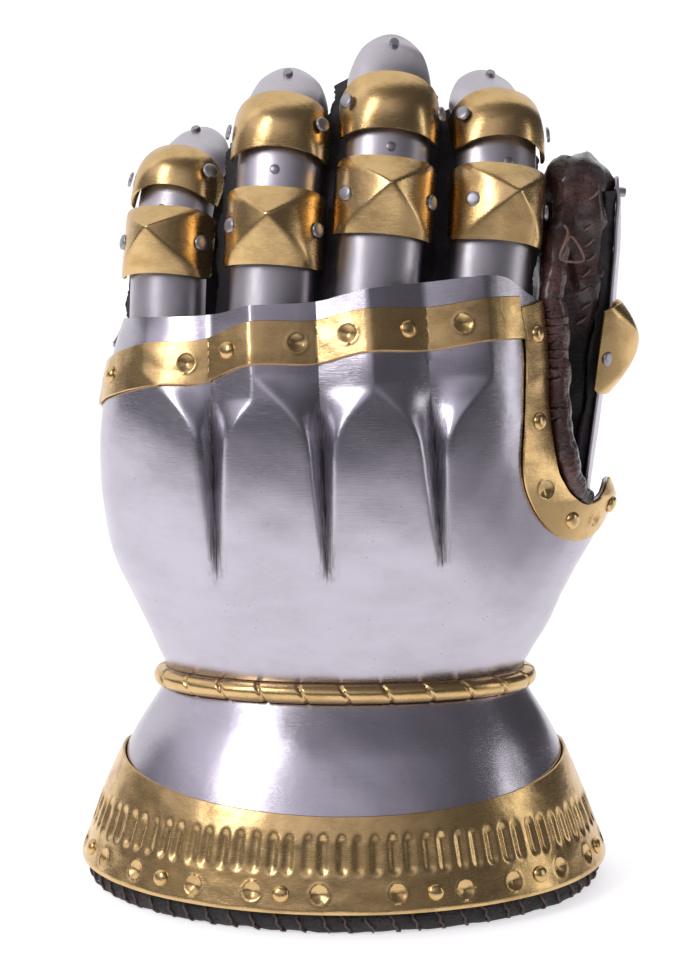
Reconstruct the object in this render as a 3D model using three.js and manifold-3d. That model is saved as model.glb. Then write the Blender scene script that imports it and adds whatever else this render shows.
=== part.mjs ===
// Hourglass gauntlet for a left hand, standing on its flared cuff with the back of the hand towards -Y,
// the thumb towards +X and the fingers up. A steel plate narrows at the wrist, brass bands edge it, four
// fingers of overlapping lames are carried on leather straps, and a leather glove lies inside.
// Lengths are millimetres, angles are degrees. +Z is up.
import * as THREE from "three";
import { mergeVertices } from "three/addons/utils/BufferGeometryUtils.js";
import Module from "manifold-3d";

const wasm = await Module();
wasm.setup();

// ---------------------------------------------------------------- driving dimensions
const RIM_Z = 6.3; // lower edge of the steel cuff
const WAIST_Z = 56.5; // middle of the wrist
const TOP_Z = 175; // above the highest point of the hand plate
const LEAN = Math.tan(THREE.MathUtils.degToRad(4.7)); // the hand leans back from the cuff
const SQUARENESS = 2.3; // exponent of the hand's rounded section
const ROUND = 2; // exponent of the cuff's section

const STEEL = 1.2; // wall of the hourglass plate
const BRASS = 0.8; // wall of the brass bands and plates
const LAME = 1.0; // wall of the finger lames
const GAP = 0.35; // clearance between pieces that lie on each other
const BAND_WIDTH = 10.9; // knuckle band
const THUMB_BAND_WIDTH = 9.8;
const CUFF_BAND_Z = 37; // upper edge of the cuff band at the sides
const CUFF_BAND_DIP = 8.5; // how much lower that edge is at the front
const ROPE_RADIUS = 2.7;
const ROPE_SEAT = 1.2; // the rope stands this far off the narrowest line of the waist
const SIDE_COLUMNS = 11; // columns of the plate between each end of its front and the middle of the palm
const GIRTH = 45; // millimetres per radian round the thumb side of the hand plate

// Half sizes of the body's section at each height: [z, left, right, front, back].
const SECTIONS = [
  [RIM_Z, 72.8, 72.2, 59.0, 50.0],
  [23, 67.0, 65.9, 53.4, 46.0],
  [40.5, 58.8, 58.4, 44.0, 40.0],
  [53.4, 51.0, 50.9, 35.0, 35.0],
  [56.5, 49.3, 49.3, 33.3, 33.2],
  [59.6, 49.5, 49.5, 33.4, 33.2],
  [64, 51.6, 51.8, 34.8, 34.0],
  [70, 54.2, 55.2, 36.6, 34.6],
  [79, 58.4, 58.6, 39.4, 34.8],
  [90, 63.6, 60.4, 42.6, 35],
  [105, 66.6, 60.8, 45.4, 35],
  [121, 67.4, 59.8, 47.0, 35],
  [134, 66.2, 58.8, 46.8, 35],
  [146, 63.6, 58.0, 45.2, 34],
  [156, 60.6, 57.6, 42.8, 33],
  [TOP_Z, 57.0, 57.0, 38.6, 32],
];
// How far the root of the thumb swells the right side: [z, millimetres].
const THUMB_SWELL = [[66, 0], [79, 1], [86, 3.2], [95, 7.8], [101, 10.2], [107, 13], [112, 12], [117, 8.7],
  [125, 3], [133, 0]];
const SWELL_FROM = 45; // the swelling grows from here
const SWELL_FULL = 90; // to here round the section
const SWELL_END = 165;

// Furrows between the knuckles: x at the top and foot, height of the foot, and the ridges each side.
const FURROWS = [
  { top: -36.0, foot: -34.0, footZ: 84, left: 17.5, right: 11.0 },
  { top: -8.0, foot: -4.4, footZ: 87, left: 17.0, right: 13.7 },
  { top: 20.6, foot: 25.8, footZ: 91, left: 14.9, right: 16.4 },
];
const FURROW_TOP_Z = 166;
const FURROW_DEPTH = [[84, 0], [90, 1], [98, 2.6], [107, 3.9], [116, 5], [126, 5.6], [141, 5.2], [172, 5]];
const FURROW_REACH = [[84, 1.2], [92, 2.2], [100, 2.9], [110, 3.4], [122, 3.9], [130, 5.2], [136, 9],
  [141, 20]];

// Upper edge of the hand plate over the knuckles, and lower edge of the knuckle band: [x, z].
const PLATE_TOP = [[-63.5, 152], [-60.9, 154.8], [-57.4, 156], [-53.5, 156.4], [-36, 157.4],
  [-25, 160.1], [-8, 161], [5.7, 164.5], [21, 166], [37, 167.8], [43, 167], [47.6, 163.6]];
const KNUCKLE_BAND_FOOT = [[-68, 129.6], [-53.5, 138.2], [-38, 139.6], [-25, 144.8], [-8, 145], [5.7, 148.4],
  [21.8, 148.4], [37, 150.8], [46, 151]];
const KNUCKLE_BAND_END = -99; // angle of its left end
// Edge of the thumb opening, from the knuckles down, round its foot and up to the palm side: [angle, z].
const THUMB_EDGE = [[63, 160.6], [65.5, 148.7], [64, 133.6], [61, 117.4], [62.5, 111], [66.5, 107],
  [72, 106], [78, 108.3], [84, 111.7]];
// The hidden rest of the plate's upper edge, round the palm: [angle, z].
const PALM_EDGE_RIGHT = [[90, 111], [98, 105], [112, 95], [132, 83], [155, 74], [182, 71]];
const PALM_EDGE_LEFT = [[-182, 71], [-155, 73], [-132, 82], [-118, 98], [-108, 118], [-101, 136],
  [-92, 148]];

// Fingers: foot of the axis line, turn of the finger about itself, sideways tilt, distance along the axis to
// the middle of each joint plate and to the tip, backward pitch of the three bones, lengths of the plates.
const FINGERS = [
  { name: "little", root: [-48.3, -4, 140], yaw: -22, tilt: -2.7, knuckle: 35.4, joint: 52.2, tip: 73.7,
    pitch: [12, 28.9, 63.9], width: 0.96, boss: 18.6, dome: 14 },
  { name: "ring", root: [-20.7, -18, 142], yaw: -7, tilt: 1.6, knuckle: 39.2, joint: 64.7, tip: 85.8,
    pitch: [12, 20.6, 52.1], width: 1, boss: 21, dome: 17 },
  { name: "middle", root: [6.5, -20, 145], yaw: 5, tilt: 6, knuckle: 44.4, joint: 67.8, tip: 91.3,
    pitch: [12, 23.2, 42.8], width: 1, boss: 21, dome: 17 },
  { name: "index", root: [36.1, -12.5, 145], yaw: 18, tilt: 9.4, knuckle: 41.9, joint: 62.6, tip: 83.8,
    pitch: [12, 26, 61.8], width: 1, boss: 21, dome: 16 },
];
const THUMB = { name: "thumb", root: [56.8, 9, 96], yaw: 90, tilt: 0, knuckle: 53, joint: 66, tip: 99,
  pitch: [-7, -6.5, -4], width: 1, boss: 25 };
const BEND_SPREAD = 7; // each joint's bend is spread over this length each way

const LAME_HALF_WIDTH = 11.5;
const LAME_HEIGHT = 9.8;
const PLATE_HALF_WIDTH = 13.6; // brass joint plates
const PLATE_HEIGHT = 11.6;
const BOSS_RISE = 4.6;
const DOME_RISE = 2.6;
const LAME_TUCK = 7; // how far a lame runs under the brass plate beside it
const FLANK_ANGLE = 62; // where the flank rivets sit on the arch
const STALL_RADIUS = 7.8; // leather finger tubes
const STALL_WALL = 1.3;
const STALL_DROP = 2.6; // their middle lies this far behind the axis line
const STRAP_WALL = 1.2;
const LAME_START = 6; // distance along the finger to the foot of its lowest lame
const STRAP_START = 5;
const STALL_START = 4;
const STRAP_SHORT = 4; // how far short of the fingertip the strap ends
const STALL_SHORT = 3;
const JOINT_LAP = 1; // the last lame starts this far past the joint
const THUMB_START = 17; // the thumb's lowest lame and strap start here
const THUMB_STALL_START = 14;
const THUMB_STALL_LONG = 3; // the thumb's tube reaches this far past its plate
const GLOVE_WALL = 1.6;
const LINING_WALL = 2.2;

// Middle of the finished gauntlet's box, which the exported frame has its origin under: [x, y].
const MIDDLE = [2.84, -4.45];

// ---------------------------------------------------------------- small maths
const rad = THREE.MathUtils.degToRad;
const lerp = THREE.MathUtils.lerp;
const smooth = (from, to, x) => THREE.MathUtils.smoothstep(x, from, to);

/** Value of a [key, value] table at x, in straight steps. */
function table(rows, x) {
  if (x <= rows[0][0]) return rows[0][1];
  for (let i = 1; i < rows.length; i++) {
    if (x <= rows[i][0]) {
      const share = (x - rows[i - 1][0]) / (rows[i][0] - rows[i - 1][0]);
      return lerp(rows[i - 1][1], rows[i][1], share);
    }
  }
  return rows.at(-1)[1];
}

/** Value of a table at x on a smooth curve through its rows, straight below the wrist. */
function curve(rows, x, column = 1) {
  let i = 1;
  while (i < rows.length - 1 && x > rows[i][0]) i++;
  const [a, b] = [rows[i - 1], rows[i]];
  const share = THREE.MathUtils.clamp((x - a[0]) / (b[0] - a[0]), 0, 1);
  if (i < 2) return lerp(a[column], b[column], share);
  const before = rows[i - 2];
  const after = rows[Math.min(i + 1, rows.length - 1)];
  const slopeA = (b[column] - before[column]) / (b[0] - before[0]);
  const slopeB = (after[column] - a[column]) / (after[0] - a[0]);
  const step = b[0] - a[0];
  const [s2, s3] = [share * share, share * share * share];
  return (2 * s3 - 3 * s2 + 1) * a[column] + (s3 - 2 * s2 + share) * step * slopeA
    + (3 * s2 - 2 * s3) * b[column] + (s3 - s2) * step * slopeB;
}

const signedPower = (value, power) => Math.sign(value) * Math.abs(value) ** power;
const squareness = (z) => lerp(ROUND, SQUARENESS, smooth(WAIST_Z, 100, z));

// ---------------------------------------------------------------- the body's surface
/** How deep the furrows between the knuckles are at x on the level z. */
function furrowDepth(x, z) {
  let depth = 0;
  for (const f of FURROWS) {
    if (z <= f.footZ) continue;
    const middle = lerp(f.foot, f.top, (z - f.footZ) / (FURROW_TOP_Z - f.footZ));
    const shifted = z - (f.footZ - FURROWS[0].footZ) * (1 - smooth(90, 130, z));
    const side = x < middle ? f.left : f.right;
    const reach = Math.min(side, table(FURROW_REACH, shifted));
    const away = Math.abs(x - middle) / reach;
    if (away < 1) depth = Math.max(depth, table(FURROW_DEPTH, shifted) * (1 - away));
  }
  return depth;
}

/** Point of the body's outer surface: angle from the front towards the thumb, height of the level. */
function bodyPoint(angle, z, outward = 0) {
  const power = 2 / squareness(z);
  const [sin, cos] = [Math.sin(rad(angle)), Math.cos(rad(angle))];
  const half = curve(SECTIONS, z, sin < 0 ? 1 : 2);
  const deep = curve(SECTIONS, z, cos > 0 ? 3 : 4);
  const swell = table(THUMB_SWELL, z) * smooth(SWELL_FROM, SWELL_FULL, angle)
    * (1 - smooth(SWELL_FULL, SWELL_END, angle));
  const x = half * signedPower(sin, power) + swell;
  const back = cos > 0 ? furrowDepth(x, z) * smooth(0, 0.5, cos) : 0;
  const y = -deep * signedPower(cos, power) + back;
  const tilt = LEAN * smooth(RIM_Z, WAIST_Z, z);
  const point = new THREE.Vector3(x, y + LEAN * Math.max(0, z - WAIST_Z), z - y * tilt);
  return outward ? point.addScaledVector(bodyNormal(angle, z), outward) : point;
}

/** Outward direction of the body's surface. */
function bodyNormal(angle, z) {
  const [da, dz] = [0.6, 0.6];
  const round = bodyPoint(angle + da, z).sub(bodyPoint(angle - da, z));
  const up = bodyPoint(angle, z + dz).sub(bodyPoint(angle, z - dz));
  return round.cross(up).normalize();
}

/** Angle at which the front of the body is at x on the level z. */
function angleAt(x, z) {
  const half = curve(SECTIONS, z, x < 0 ? 1 : 2);
  const share = THREE.MathUtils.clamp(x / half, -1, 1);
  return THREE.MathUtils.radToDeg(Math.asin(signedPower(share, squareness(z) / 2)));
}

// ---------------------------------------------------------------- sheets made into solids
/** Triangles of a grid of rows and columns, facing out when columns run to the thumb and rows run up. */
function gridFaces(rows, columns, closed = false) {
  const faces = [];
  const last = closed ? columns : columns - 1;
  for (let r = 0; r < rows - 1; r++) {
    for (let c = 0; c < last; c++) {
      const [a, b] = [r * columns + c, r * columns + ((c + 1) % columns)];
      faces.push([a, b, b + columns], [a, b + columns, a + columns]);
    }
  }
  return faces;
}

/** Geometry of points and triangles, with its normals. */
function trianglesOf(points, faces) {
  const geometry = new THREE.BufferGeometry().setFromPoints(points);
  geometry.setIndex(faces.flat());
  geometry.computeVertexNormals();
  return geometry;
}

/** A closed solid from a sheet: face and back offset from the sheet, and a strip along each free edge. */
function sheetSolid(points, faces, back, front = 0) {
  const normals = trianglesOf(points, faces).getAttribute("normal");
  const offset = (distance) => points.map((p, i) => p.clone()
    .addScaledVector(new THREE.Vector3().fromBufferAttribute(normals, i), distance));
  const count = points.length;
  const triangles = faces.flatMap(([a, b, c]) => [[a, b, c], [c + count, b + count, a + count]]);
  const edges = new Set(faces.flatMap(([a, b, c]) => [`${a},${b}`, `${b},${c}`, `${c},${a}`]));
  for (const edge of edges) {
    const [a, b] = edge.split(",").map(Number);
    if (!edges.has(`${b},${a}`)) triangles.push([b, a, a + count], [b, a + count, b + count]);
  }
  return trianglesOf([...offset(front), ...offset(-back)], triangles);
}

// ---------------------------------------------------------------- cutting
/** A closed geometry as a solid that can be cut. */
function toSolid(geometry) {
  const bare = geometry.clone();
  bare.deleteAttribute("normal");
  bare.deleteAttribute("uv");
  const merged = mergeVertices(bare, 1e-4);
  const vertProperties = merged.getAttribute("position").array;
  return new wasm.Manifold(new wasm.Mesh({ numProp: 3, vertProperties, triVerts: merged.index.array }));
}

/** A cut solid as a geometry again. */
function toGeometry(solid) {
  const mesh = solid.getMesh();
  const geometry = new THREE.BufferGeometry();
  geometry.setAttribute("position", new THREE.BufferAttribute(mesh.vertProperties, 3));
  geometry.setIndex(new THREE.BufferAttribute(mesh.triVerts, 1));
  return geometry;
}

/** The main piece of a solid whose cut left crumbs. */
function largest(solid) {
  return solid.decompose().sort((a, b) => b.volume() - a.volume())[0];
}

/** Wedge from the body's middle line out through an outline of [angle, z] on its surface. */
function wedge(outline) {
  const layers = [1, 30, 80, 900];
  const flat = outline.map(([angle, z]) => {
    const p = bodyPoint(angle, z);
    const around = Math.atan2(p.x, -p.y);
    return new THREE.Vector2(Math.abs(angle) > 180 ? around + Math.sign(angle) * Math.PI * 2 : around, p.z);
  });
  const depth = layers.length - 1;
  const shape = new THREE.Shape(flat);
  const block = new THREE.ExtrudeGeometry(shape, { depth, steps: depth, bevelEnabled: false });
  const position = block.getAttribute("position");
  for (let i = 0; i < position.count; i++) {
    const [around, z] = [position.getX(i), position.getY(i)];
    const radius = layers[Math.round(position.getZ(i))];
    position.setXYZ(i, radius * Math.sin(around), -radius * Math.cos(around), z);
  }
  return toSolid(block);
}

/** A smooth run of points through corners given as [angle, z]. */
function smoothRun(corners, perCorner = 4) {
  const scale = rad(GIRTH);
  const spline = new THREE.SplineCurve(corners.map(([angle, z]) => new THREE.Vector2(angle * scale, z)));
  return spline.getPoints((corners.length - 1) * perCorner).map((p) => [p.x / scale, p.y]);
}

// ---------------------------------------------------------------- hourglass plate and its bands
const onFront = ([x, z]) => [angleAt(x, z), z];

/** Angles of the body's columns on one level, close together at the furrows. */
function columnAngles(level) {
  const z = Math.max(level, WAIST_Z);
  const stops = [];
  for (const f of FURROWS) {
    const share = (Math.max(z, f.footZ) - f.footZ) / (FURROW_TOP_Z - f.footZ);
    const middle = lerp(f.foot, f.top, share);
    const reach = table(FURROW_REACH, z);
    const [left, right] = [Math.min(reach, f.left * 0.6), Math.min(reach, f.right * 0.6)];
    stops.push(middle - f.left, middle - (f.left + left) / 2, middle - left, middle, middle + right,
      middle + (f.right + right) / 2);
  }
  const last = stops.at(-3) + FURROWS.at(-1).right;
  stops.push(last);
  const shrink = Math.min(1, curve(SECTIONS, z, 2) / 58);
  const front = stops.map((x) => angleAt(x * shrink, z));
  const left = Array.from({ length: SIDE_COLUMNS }, (_, i) => lerp(-180, front[0], i / SIDE_COLUMNS));
  const right = Array.from({ length: SIDE_COLUMNS - 1 }, (_, i) => lerp(front.at(-1), 180,
    (i + 1) / SIDE_COLUMNS));
  return [...left, ...front, ...right];
}
const PLATE_LEVELS = [RIM_Z, 23, 40.5, 53.4, WAIST_Z, 59.6, 64, 71, 79, 87, 93, 100, 107, 115, 123, 130, 136,
  141, 150, 160, 168, TOP_Z];

/** The body's surface between two levels of the plate, as a grid of points. */
function bodySheet(levels) {
  const rows = levels.map((z) => columnAngles(z).map((angle) => bodyPoint(angle, z)));
  return [rows.flat(), gridFaces(rows.length, rows[0].length, true)];
}

/** The steel plate: flared cuff, narrow waist and hand plate with its thumb opening and open palm. */
function hourglassPlate() {
  const above = TOP_Z + 60;
  const knuckles = [PALM_EDGE_LEFT.at(-1), ...PLATE_TOP.map(onFront), THUMB_EDGE[0]];
  const front = [...smoothRun(knuckles), [THUMB_EDGE[0][0] + 3, THUMB_EDGE[0][1]]];
  const thumb = smoothRun([...THUMB_EDGE, ...PALM_EDGE_RIGHT]);
  const palm = smoothRun(PALM_EDGE_LEFT);
  let plate = toSolid(sheetSolid(...bodySheet(PLATE_LEVELS), STEEL));
  for (const edge of [front, thumb, palm]) {
    const cap = [[edge.at(-1)[0], above], [edge[0][0], above]];
    plate = plate.subtract(wedge([...edge, ...cap]));
  }
  return toGeometry(largest(plate));
}

/** The layer of brass that lies on the hand plate, clear of it, from which the bands are cut. */
function brassLayer(levels) {
  return toSolid(sheetSolid(...bodySheet(levels), -GAP, GAP + BRASS));
}

/** Outline of the band round the thumb opening, wider by the given margin. */
function thumbBandOutline(margin = 0) {
  const scale = rad(GIRTH);
  const inner = smoothRun(THUMB_EDGE);
  const outer = inner.map(([angle, z], i) => {
    const [before, after] = [inner[Math.max(0, i - 1)], inner[Math.min(inner.length - 1, i + 1)]];
    const along = new THREE.Vector2((after[0] - before[0]) * scale, after[1] - before[1]).normalize();
    const width = THUMB_BAND_WIDTH + margin;
    return [angle + (along.y * width) / scale, z - along.x * width];
  });
  return [...inner, ...outer.reverse()];
}

/** Brass band round the edge of the thumb opening. */
function thumbBand() {
  return toGeometry(brassLayer(PLATE_LEVELS.slice(7)).intersect(wedge(thumbBandOutline())));
}

/** Brass band across the knuckles, which stops at the thumb band. */
function knuckleBand() {
  const end = [KNUCKLE_BAND_END, KNUCKLE_BAND_FOOT[0][1]];
  const foot = [end, ...KNUCKLE_BAND_FOOT.slice(1).map(onFront)];
  const head = [[end[0], end[1] + BAND_WIDTH],
    ...KNUCKLE_BAND_FOOT.slice(1).map(([x, z]) => onFront([x, z + BAND_WIDTH]))];
  const outline = [...smoothRun(foot, 2), ...smoothRun(head, 2).reverse()];
  const band = brassLayer(PLATE_LEVELS.slice(12)).intersect(wedge(outline));
  return toGeometry(largest(band.subtract(wedge(thumbBandOutline(GAP)))));
}

/** Brass band round the foot of the cuff. */
function cuffBand() {
  const angles = columnAngles(RIM_Z);
  const points = [0, 1, 2].flatMap((row) => angles.map((angle) => {
    const top = CUFF_BAND_Z - CUFF_BAND_DIP * Math.max(0, Math.cos(rad(angle)));
    return bodyPoint(angle, [RIM_Z, SECTIONS[1][0], top][row]);
  }));
  return sheetSolid(points, gridFaces(3, angles.length, true), -GAP, GAP + BRASS);
}

/** Half-round brass bar round the waist, closed on itself. */
function waistRope() {
  const section = [[0, -1], [0.6, -0.8], [1, -0.35], [1, 0.35], [0.6, 0.8], [0, 1]];
  const angles = columnAngles(WAIST_Z);
  const points = angles.flatMap((angle) => {
    const [centre, normal] = [bodyPoint(angle, WAIST_Z, ROPE_SEAT), bodyNormal(angle, WAIST_Z)];
    const up = bodyPoint(angle, WAIST_Z + 1).sub(bodyPoint(angle, WAIST_Z - 1)).normalize();
    return section.map(([out, rise]) => centre.clone().addScaledVector(normal, out * ROPE_RADIUS)
      .addScaledVector(up, rise * ROPE_RADIUS));
  });
  const faces = [];
  const n = section.length;
  for (let i = 0; i < angles.length; i++) {
    const next = ((i + 1) % angles.length) * n;
    for (let j = 0; j < n; j++) {
      const k = (j + 1) % n;
      faces.push([i * n + j, next + j, next + k], [i * n + j, next + k, i * n + k]);
    }
  }
  return trianglesOf(points, faces);
}

// ---------------------------------------------------------------- fingers
/** Place and directions on a finger's axis line at distance s: side, dorsal and along. */
function fingerFrame(finger, s) {
  const turn = new THREE.Matrix4().makeRotationY(rad(finger.tilt)).multiply(
    new THREE.Matrix4().makeRotationZ(rad(finger.yaw)));
  const side = new THREE.Vector3(1, 0, 0).applyMatrix4(turn);
  const dorsal = new THREE.Vector3(0, -1, 0).applyMatrix4(turn);
  const along = new THREE.Vector3(0, 0, 1).applyMatrix4(turn);
  const bent = (joint, d) => smooth(joint - BEND_SPREAD, joint + BEND_SPREAD, d);
  const [root, middle, tip] = finger.pitch;
  const pitchAt = (d) => rad(root + (middle - root) * bent(finger.knuckle, d)
    + (tip - middle) * bent(finger.joint, d));
  const origin = new THREE.Vector3(...finger.root);
  const steps = Math.max(1, Math.ceil(Math.abs(s)));
  for (let i = 0; i < steps; i++) {
    const pitch = pitchAt(((i + 0.5) / steps) * s);
    origin.addScaledVector(along, (Math.cos(pitch) * s) / steps);
    origin.addScaledVector(dorsal, (-Math.sin(pitch) * s) / steps);
  }
  const pitch = pitchAt(s);
  return {
    origin,
    side,
    dorsal: dorsal.clone().multiplyScalar(Math.cos(pitch)).addScaledVector(along, Math.sin(pitch)),
    along: along.clone().multiplyScalar(Math.cos(pitch)).addScaledVector(dorsal, -Math.sin(pitch)),
  };
}

/** A solid arch: columns from -spread to spread, rows from foot to head, shape giving side and height. */
function archSolid({ columns, rows, spread, foot, head, shape, wall }) {
  const points = [];
  for (let r = 0; r <= rows; r++) {
    for (let c = 0; c <= columns; c++) {
      const angle = lerp(-spread, spread, c / columns);
      const along = lerp(foot(angle), head(angle), r / rows);
      const [u, n] = shape(angle, along);
      points.push(new THREE.Vector3(u, -n, along));
    }
  }
  return sheetSolid(points, gridFaces(rows + 1, columns + 1), wall);
}

/** Mesh of one rigid piece of a finger, set on the finger's axis line at distance s. */
function onFinger(finger, s, geometry, material, name) {
  const { origin, side, dorsal, along } = fingerFrame(finger, s);
  const mesh = new THREE.Mesh(geometry, material);
  mesh.name = `${finger.name}_${name}`;
  mesh.quaternion.setFromRotationMatrix(new THREE.Matrix4().makeBasis(side, dorsal.clone().negate(), along));
  mesh.position.copy(origin);
  gauntlet.add(mesh);
}

/** Steel lame: a plain arch. */
function lame(finger, length) {
  return archSolid({
    columns: 10, rows: 1, spread: 86, wall: LAME, foot: () => -length / 2, head: () => length / 2,
    shape: (angle) => [finger.width * LAME_HALF_WIDTH * Math.sin(rad(angle)),
      LAME_HEIGHT * Math.cos(rad(angle))],
  });
}

/** Steel tip plate: an arch with a round end that closes towards the nail. */
function tipPlate(finger, length) {
  return archSolid({
    columns: 10, rows: 3, spread: 84, wall: LAME, foot: () => -length / 2,
    head: (angle) => -length / 2 + length * Math.sqrt(Math.max(0.06, 1 - (angle / 92) ** 2)),
    shape: (angle, along) => {
      const close = 1 - 0.12 * smooth(-0.1, 0.5, along / length);
      return [close * finger.width * LAME_HALF_WIDTH * Math.sin(rad(angle)),
        close * LAME_HEIGHT * Math.cos(rad(angle))];
    },
  });
}

/** Brass plate over the knuckle of a finger, raised to a four-sided point. */
function bossPlate(finger) {
  const length = finger.boss;
  return archSolid({
    columns: 10, rows: 6, spread: 84, wall: BRASS,
    foot: () => -length / 2,
    head: (angle) => length / 2 - 2.2 * (angle / 84) ** 4,
    shape: (angle, along) => {
      const reach = Math.max(Math.abs(angle) / 62, Math.abs(along) / (length * 0.5));
      const grow = 1 + (BOSS_RISE / PLATE_HEIGHT) * Math.max(0, 1 - reach);
      return [grow * finger.width * PLATE_HALF_WIDTH * Math.sin(rad(angle)),
        grow * PLATE_HEIGHT * Math.cos(rad(angle))];
    },
  });
}

/** Brass plate over the last joint of a finger, domed like a drop. */
function domePlate(finger) {
  const length = finger.dome;
  return archSolid({
    columns: 10, rows: 4, spread: 84, wall: BRASS,
    foot: () => -length / 2,
    head: (angle) => length / 2 - 3.2 * (angle / 84) ** 4,
    shape: (angle, along) => {
      const belly = Math.cos((along / length) * Math.PI * 0.9);
      return [(0.97 + 0.03 * belly) * finger.width * PLATE_HALF_WIDTH * Math.sin(rad(angle)),
        (PLATE_HEIGHT + DOME_RISE * belly) * Math.cos(rad(angle))];
    },
  });
}

/** Leather tube for one finger, closed at its tip. */
function stall(finger, from, to) {
  const [count, rows] = [8, 7];
  const points = [];
  for (let r = 0; r <= rows; r++) {
    const s = lerp(from, to, r / rows);
    const close = Math.sqrt(Math.max(0.1, 1 - smooth(0.68, 1.02, r / rows) ** 2));
    const { origin, side, dorsal } = fingerFrame(finger, s);
    for (let c = 0; c < count; c++) {
      const angle = rad((c / count) * 360);
      points.push(origin.clone().addScaledVector(side, close * STALL_RADIUS * Math.sin(angle))
        .addScaledVector(dorsal, close * STALL_RADIUS * Math.cos(angle) - STALL_DROP));
    }
  }
  const faces = gridFaces(rows + 1, count, true);
  const { origin, dorsal } = fingerFrame(finger, to + 1);
  const tip = points.push(origin.addScaledVector(dorsal, -STALL_DROP)) - 1;
  for (let c = 0; c < count; c++) faces.push([rows * count + c, rows * count + ((c + 1) % count), tip]);
  return sheetSolid(points, faces, STALL_WALL);
}

/** Suede strap under the plates of one finger, whose wings show beside them. */
function strap(finger, from, to) {
  const half = [[-12.4, -2.9], [-11, -1.2], [-9.5, 1.0], [-7.8, 4.4], [-4.6, 6.9]];
  const section = [...half, [0, 7.6], ...half.map(([u, n]) => [-u, n]).reverse()];
  const rows = 6;
  const points = [];
  for (let r = 0; r <= rows; r++) {
    const { origin, side, dorsal } = fingerFrame(finger, lerp(from, to, r / rows));
    const close = 1 - 0.1 * smooth(0.6, 1, r / rows);
    for (const [u, n] of section) {
      points.push(origin.clone().addScaledVector(side, close * finger.width * u)
        .addScaledVector(dorsal, close * n));
    }
  }
  return sheetSolid(points, gridFaces(rows + 1, section.length), STRAP_WALL);
}

/** Low rivet head that stands on its own XZ plane. */
function rivetHead() {
  const profile = [[0, 0], [1.9, 0], [1.6, 0.8], [0, 1.1]];
  return new THREE.LatheGeometry(profile.map(([x, y]) => new THREE.Vector2(x, y)), 6);
}

// ---------------------------------------------------------------- leather
/** Points round the body on its own columns, at an inset from the steel's outer face. */
const ring = (z, inset) => columnAngles(RIM_Z).map((angle) => bodyPoint(angle, z, -inset));

/** Leather lining of the cuff: a cone inside the steel whose thick hem the gauntlet stands on. */
function cuffLining() {
  const inset = STEEL + GAP;
  const hem = ring(RIM_Z, 2.6);
  const below = hem.map((p) => new THREE.Vector3(p.x, p.y, -2));
  const bulge = hem.map((p) => new THREE.Vector3(p.x, p.y, 3.4));
  const cone = [23, 40.5, 50].map((z) => ring(z, inset));
  const rows = [below, bulge, ring(RIM_Z + 3, inset + 0.5), ...cone];
  const lining = sheetSolid(rows.flat(), gridFaces(rows.length, hem.length, true), LINING_WALL);
  return toGeometry(toSolid(lining).trimByPlane([0, 0, 1], 0));
}

/** Leather hand of the glove, from the wrist to the roots of the fingers. */
function gloveHand() {
  const count = 24;
  const palm = [[53, 27], [66, 28.5], [90, 27], [118, 24], [134, 18], [142, 10]];
  const rows = [54, 62, 76, 96, 118, 134, 142].map((z) => Array.from({ length: count }, (_, i) => {
    const angle = rad((i / count) * 360 - 180);
    const inset = STEEL + 2 + 6.5 * smooth(72, 100, z);
    const [column, widest] = Math.sin(angle) < 0 ? [1, 64] : [2, 53];
    const half = Math.min(curve(SECTIONS, z, column), widest) - inset;
    const deep = Math.cos(angle) > 0 ? curve(SECTIONS, z, 3) - inset : table(palm, z);
    const y = -deep * Math.cos(angle);
    return new THREE.Vector3(half * Math.sin(angle), y + LEAN * (z - WAIST_Z), z - y * LEAN);
  }));
  return sheetSolid(rows.flat(), gridFaces(rows.length, count, true), GLOVE_WALL);
}

// ---------------------------------------------------------------- assembly
const MATERIALS = {
  steel: new THREE.MeshStandardMaterial({ color: 0xb9b4bd, roughness: 0.28, metalness: 1 }),
  brass: new THREE.MeshStandardMaterial({ color: 0xc79a4b, roughness: 0.25, metalness: 1 }),
  leather: new THREE.MeshStandardMaterial({ color: 0x3a211c, roughness: 0.45, metalness: 0 }),
  suede: new THREE.MeshStandardMaterial({ color: 0x2c282b, roughness: 0.9, metalness: 0 }),
};
const gauntlet = new THREE.Group();

/** Adds a mesh whose geometry is already in the gauntlet's own frame. */
function add(name, geometry, material) {
  const mesh = new THREE.Mesh(geometry, material);
  mesh.name = name;
  gauntlet.add(mesh);
}

/** Adds the two rivet heads on the flanks of a brass plate set at distance s. */
function addFlankRivets(finger, s, plate) {
  for (const [label, angle] of [["left", rad(-FLANK_ANGLE)], ["right", rad(FLANK_ANGLE)]]) {
    const [wide, high] = [finger.width * PLATE_HALF_WIDTH, PLATE_HEIGHT];
    const outward = new THREE.Vector3(Math.sin(angle) / wide, -Math.cos(angle) / high, 0).normalize();
    const foot = new THREE.Vector3(wide * Math.sin(angle), -high * Math.cos(angle), 0);
    const lift = plate === "joint" ? DOME_RISE * Math.cos(angle) + GAP : 2 * GAP;
    const rivet = rivetHead();
    rivet.applyQuaternion(new THREE.Quaternion().setFromUnitVectors(new THREE.Vector3(0, 1, 0), outward));
    rivet.translate(...foot.addScaledVector(outward, lift).toArray());
    onFinger(finger, s, rivet, MATERIALS.steel, `${plate}_rivet_${label}`);
  }
}

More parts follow.
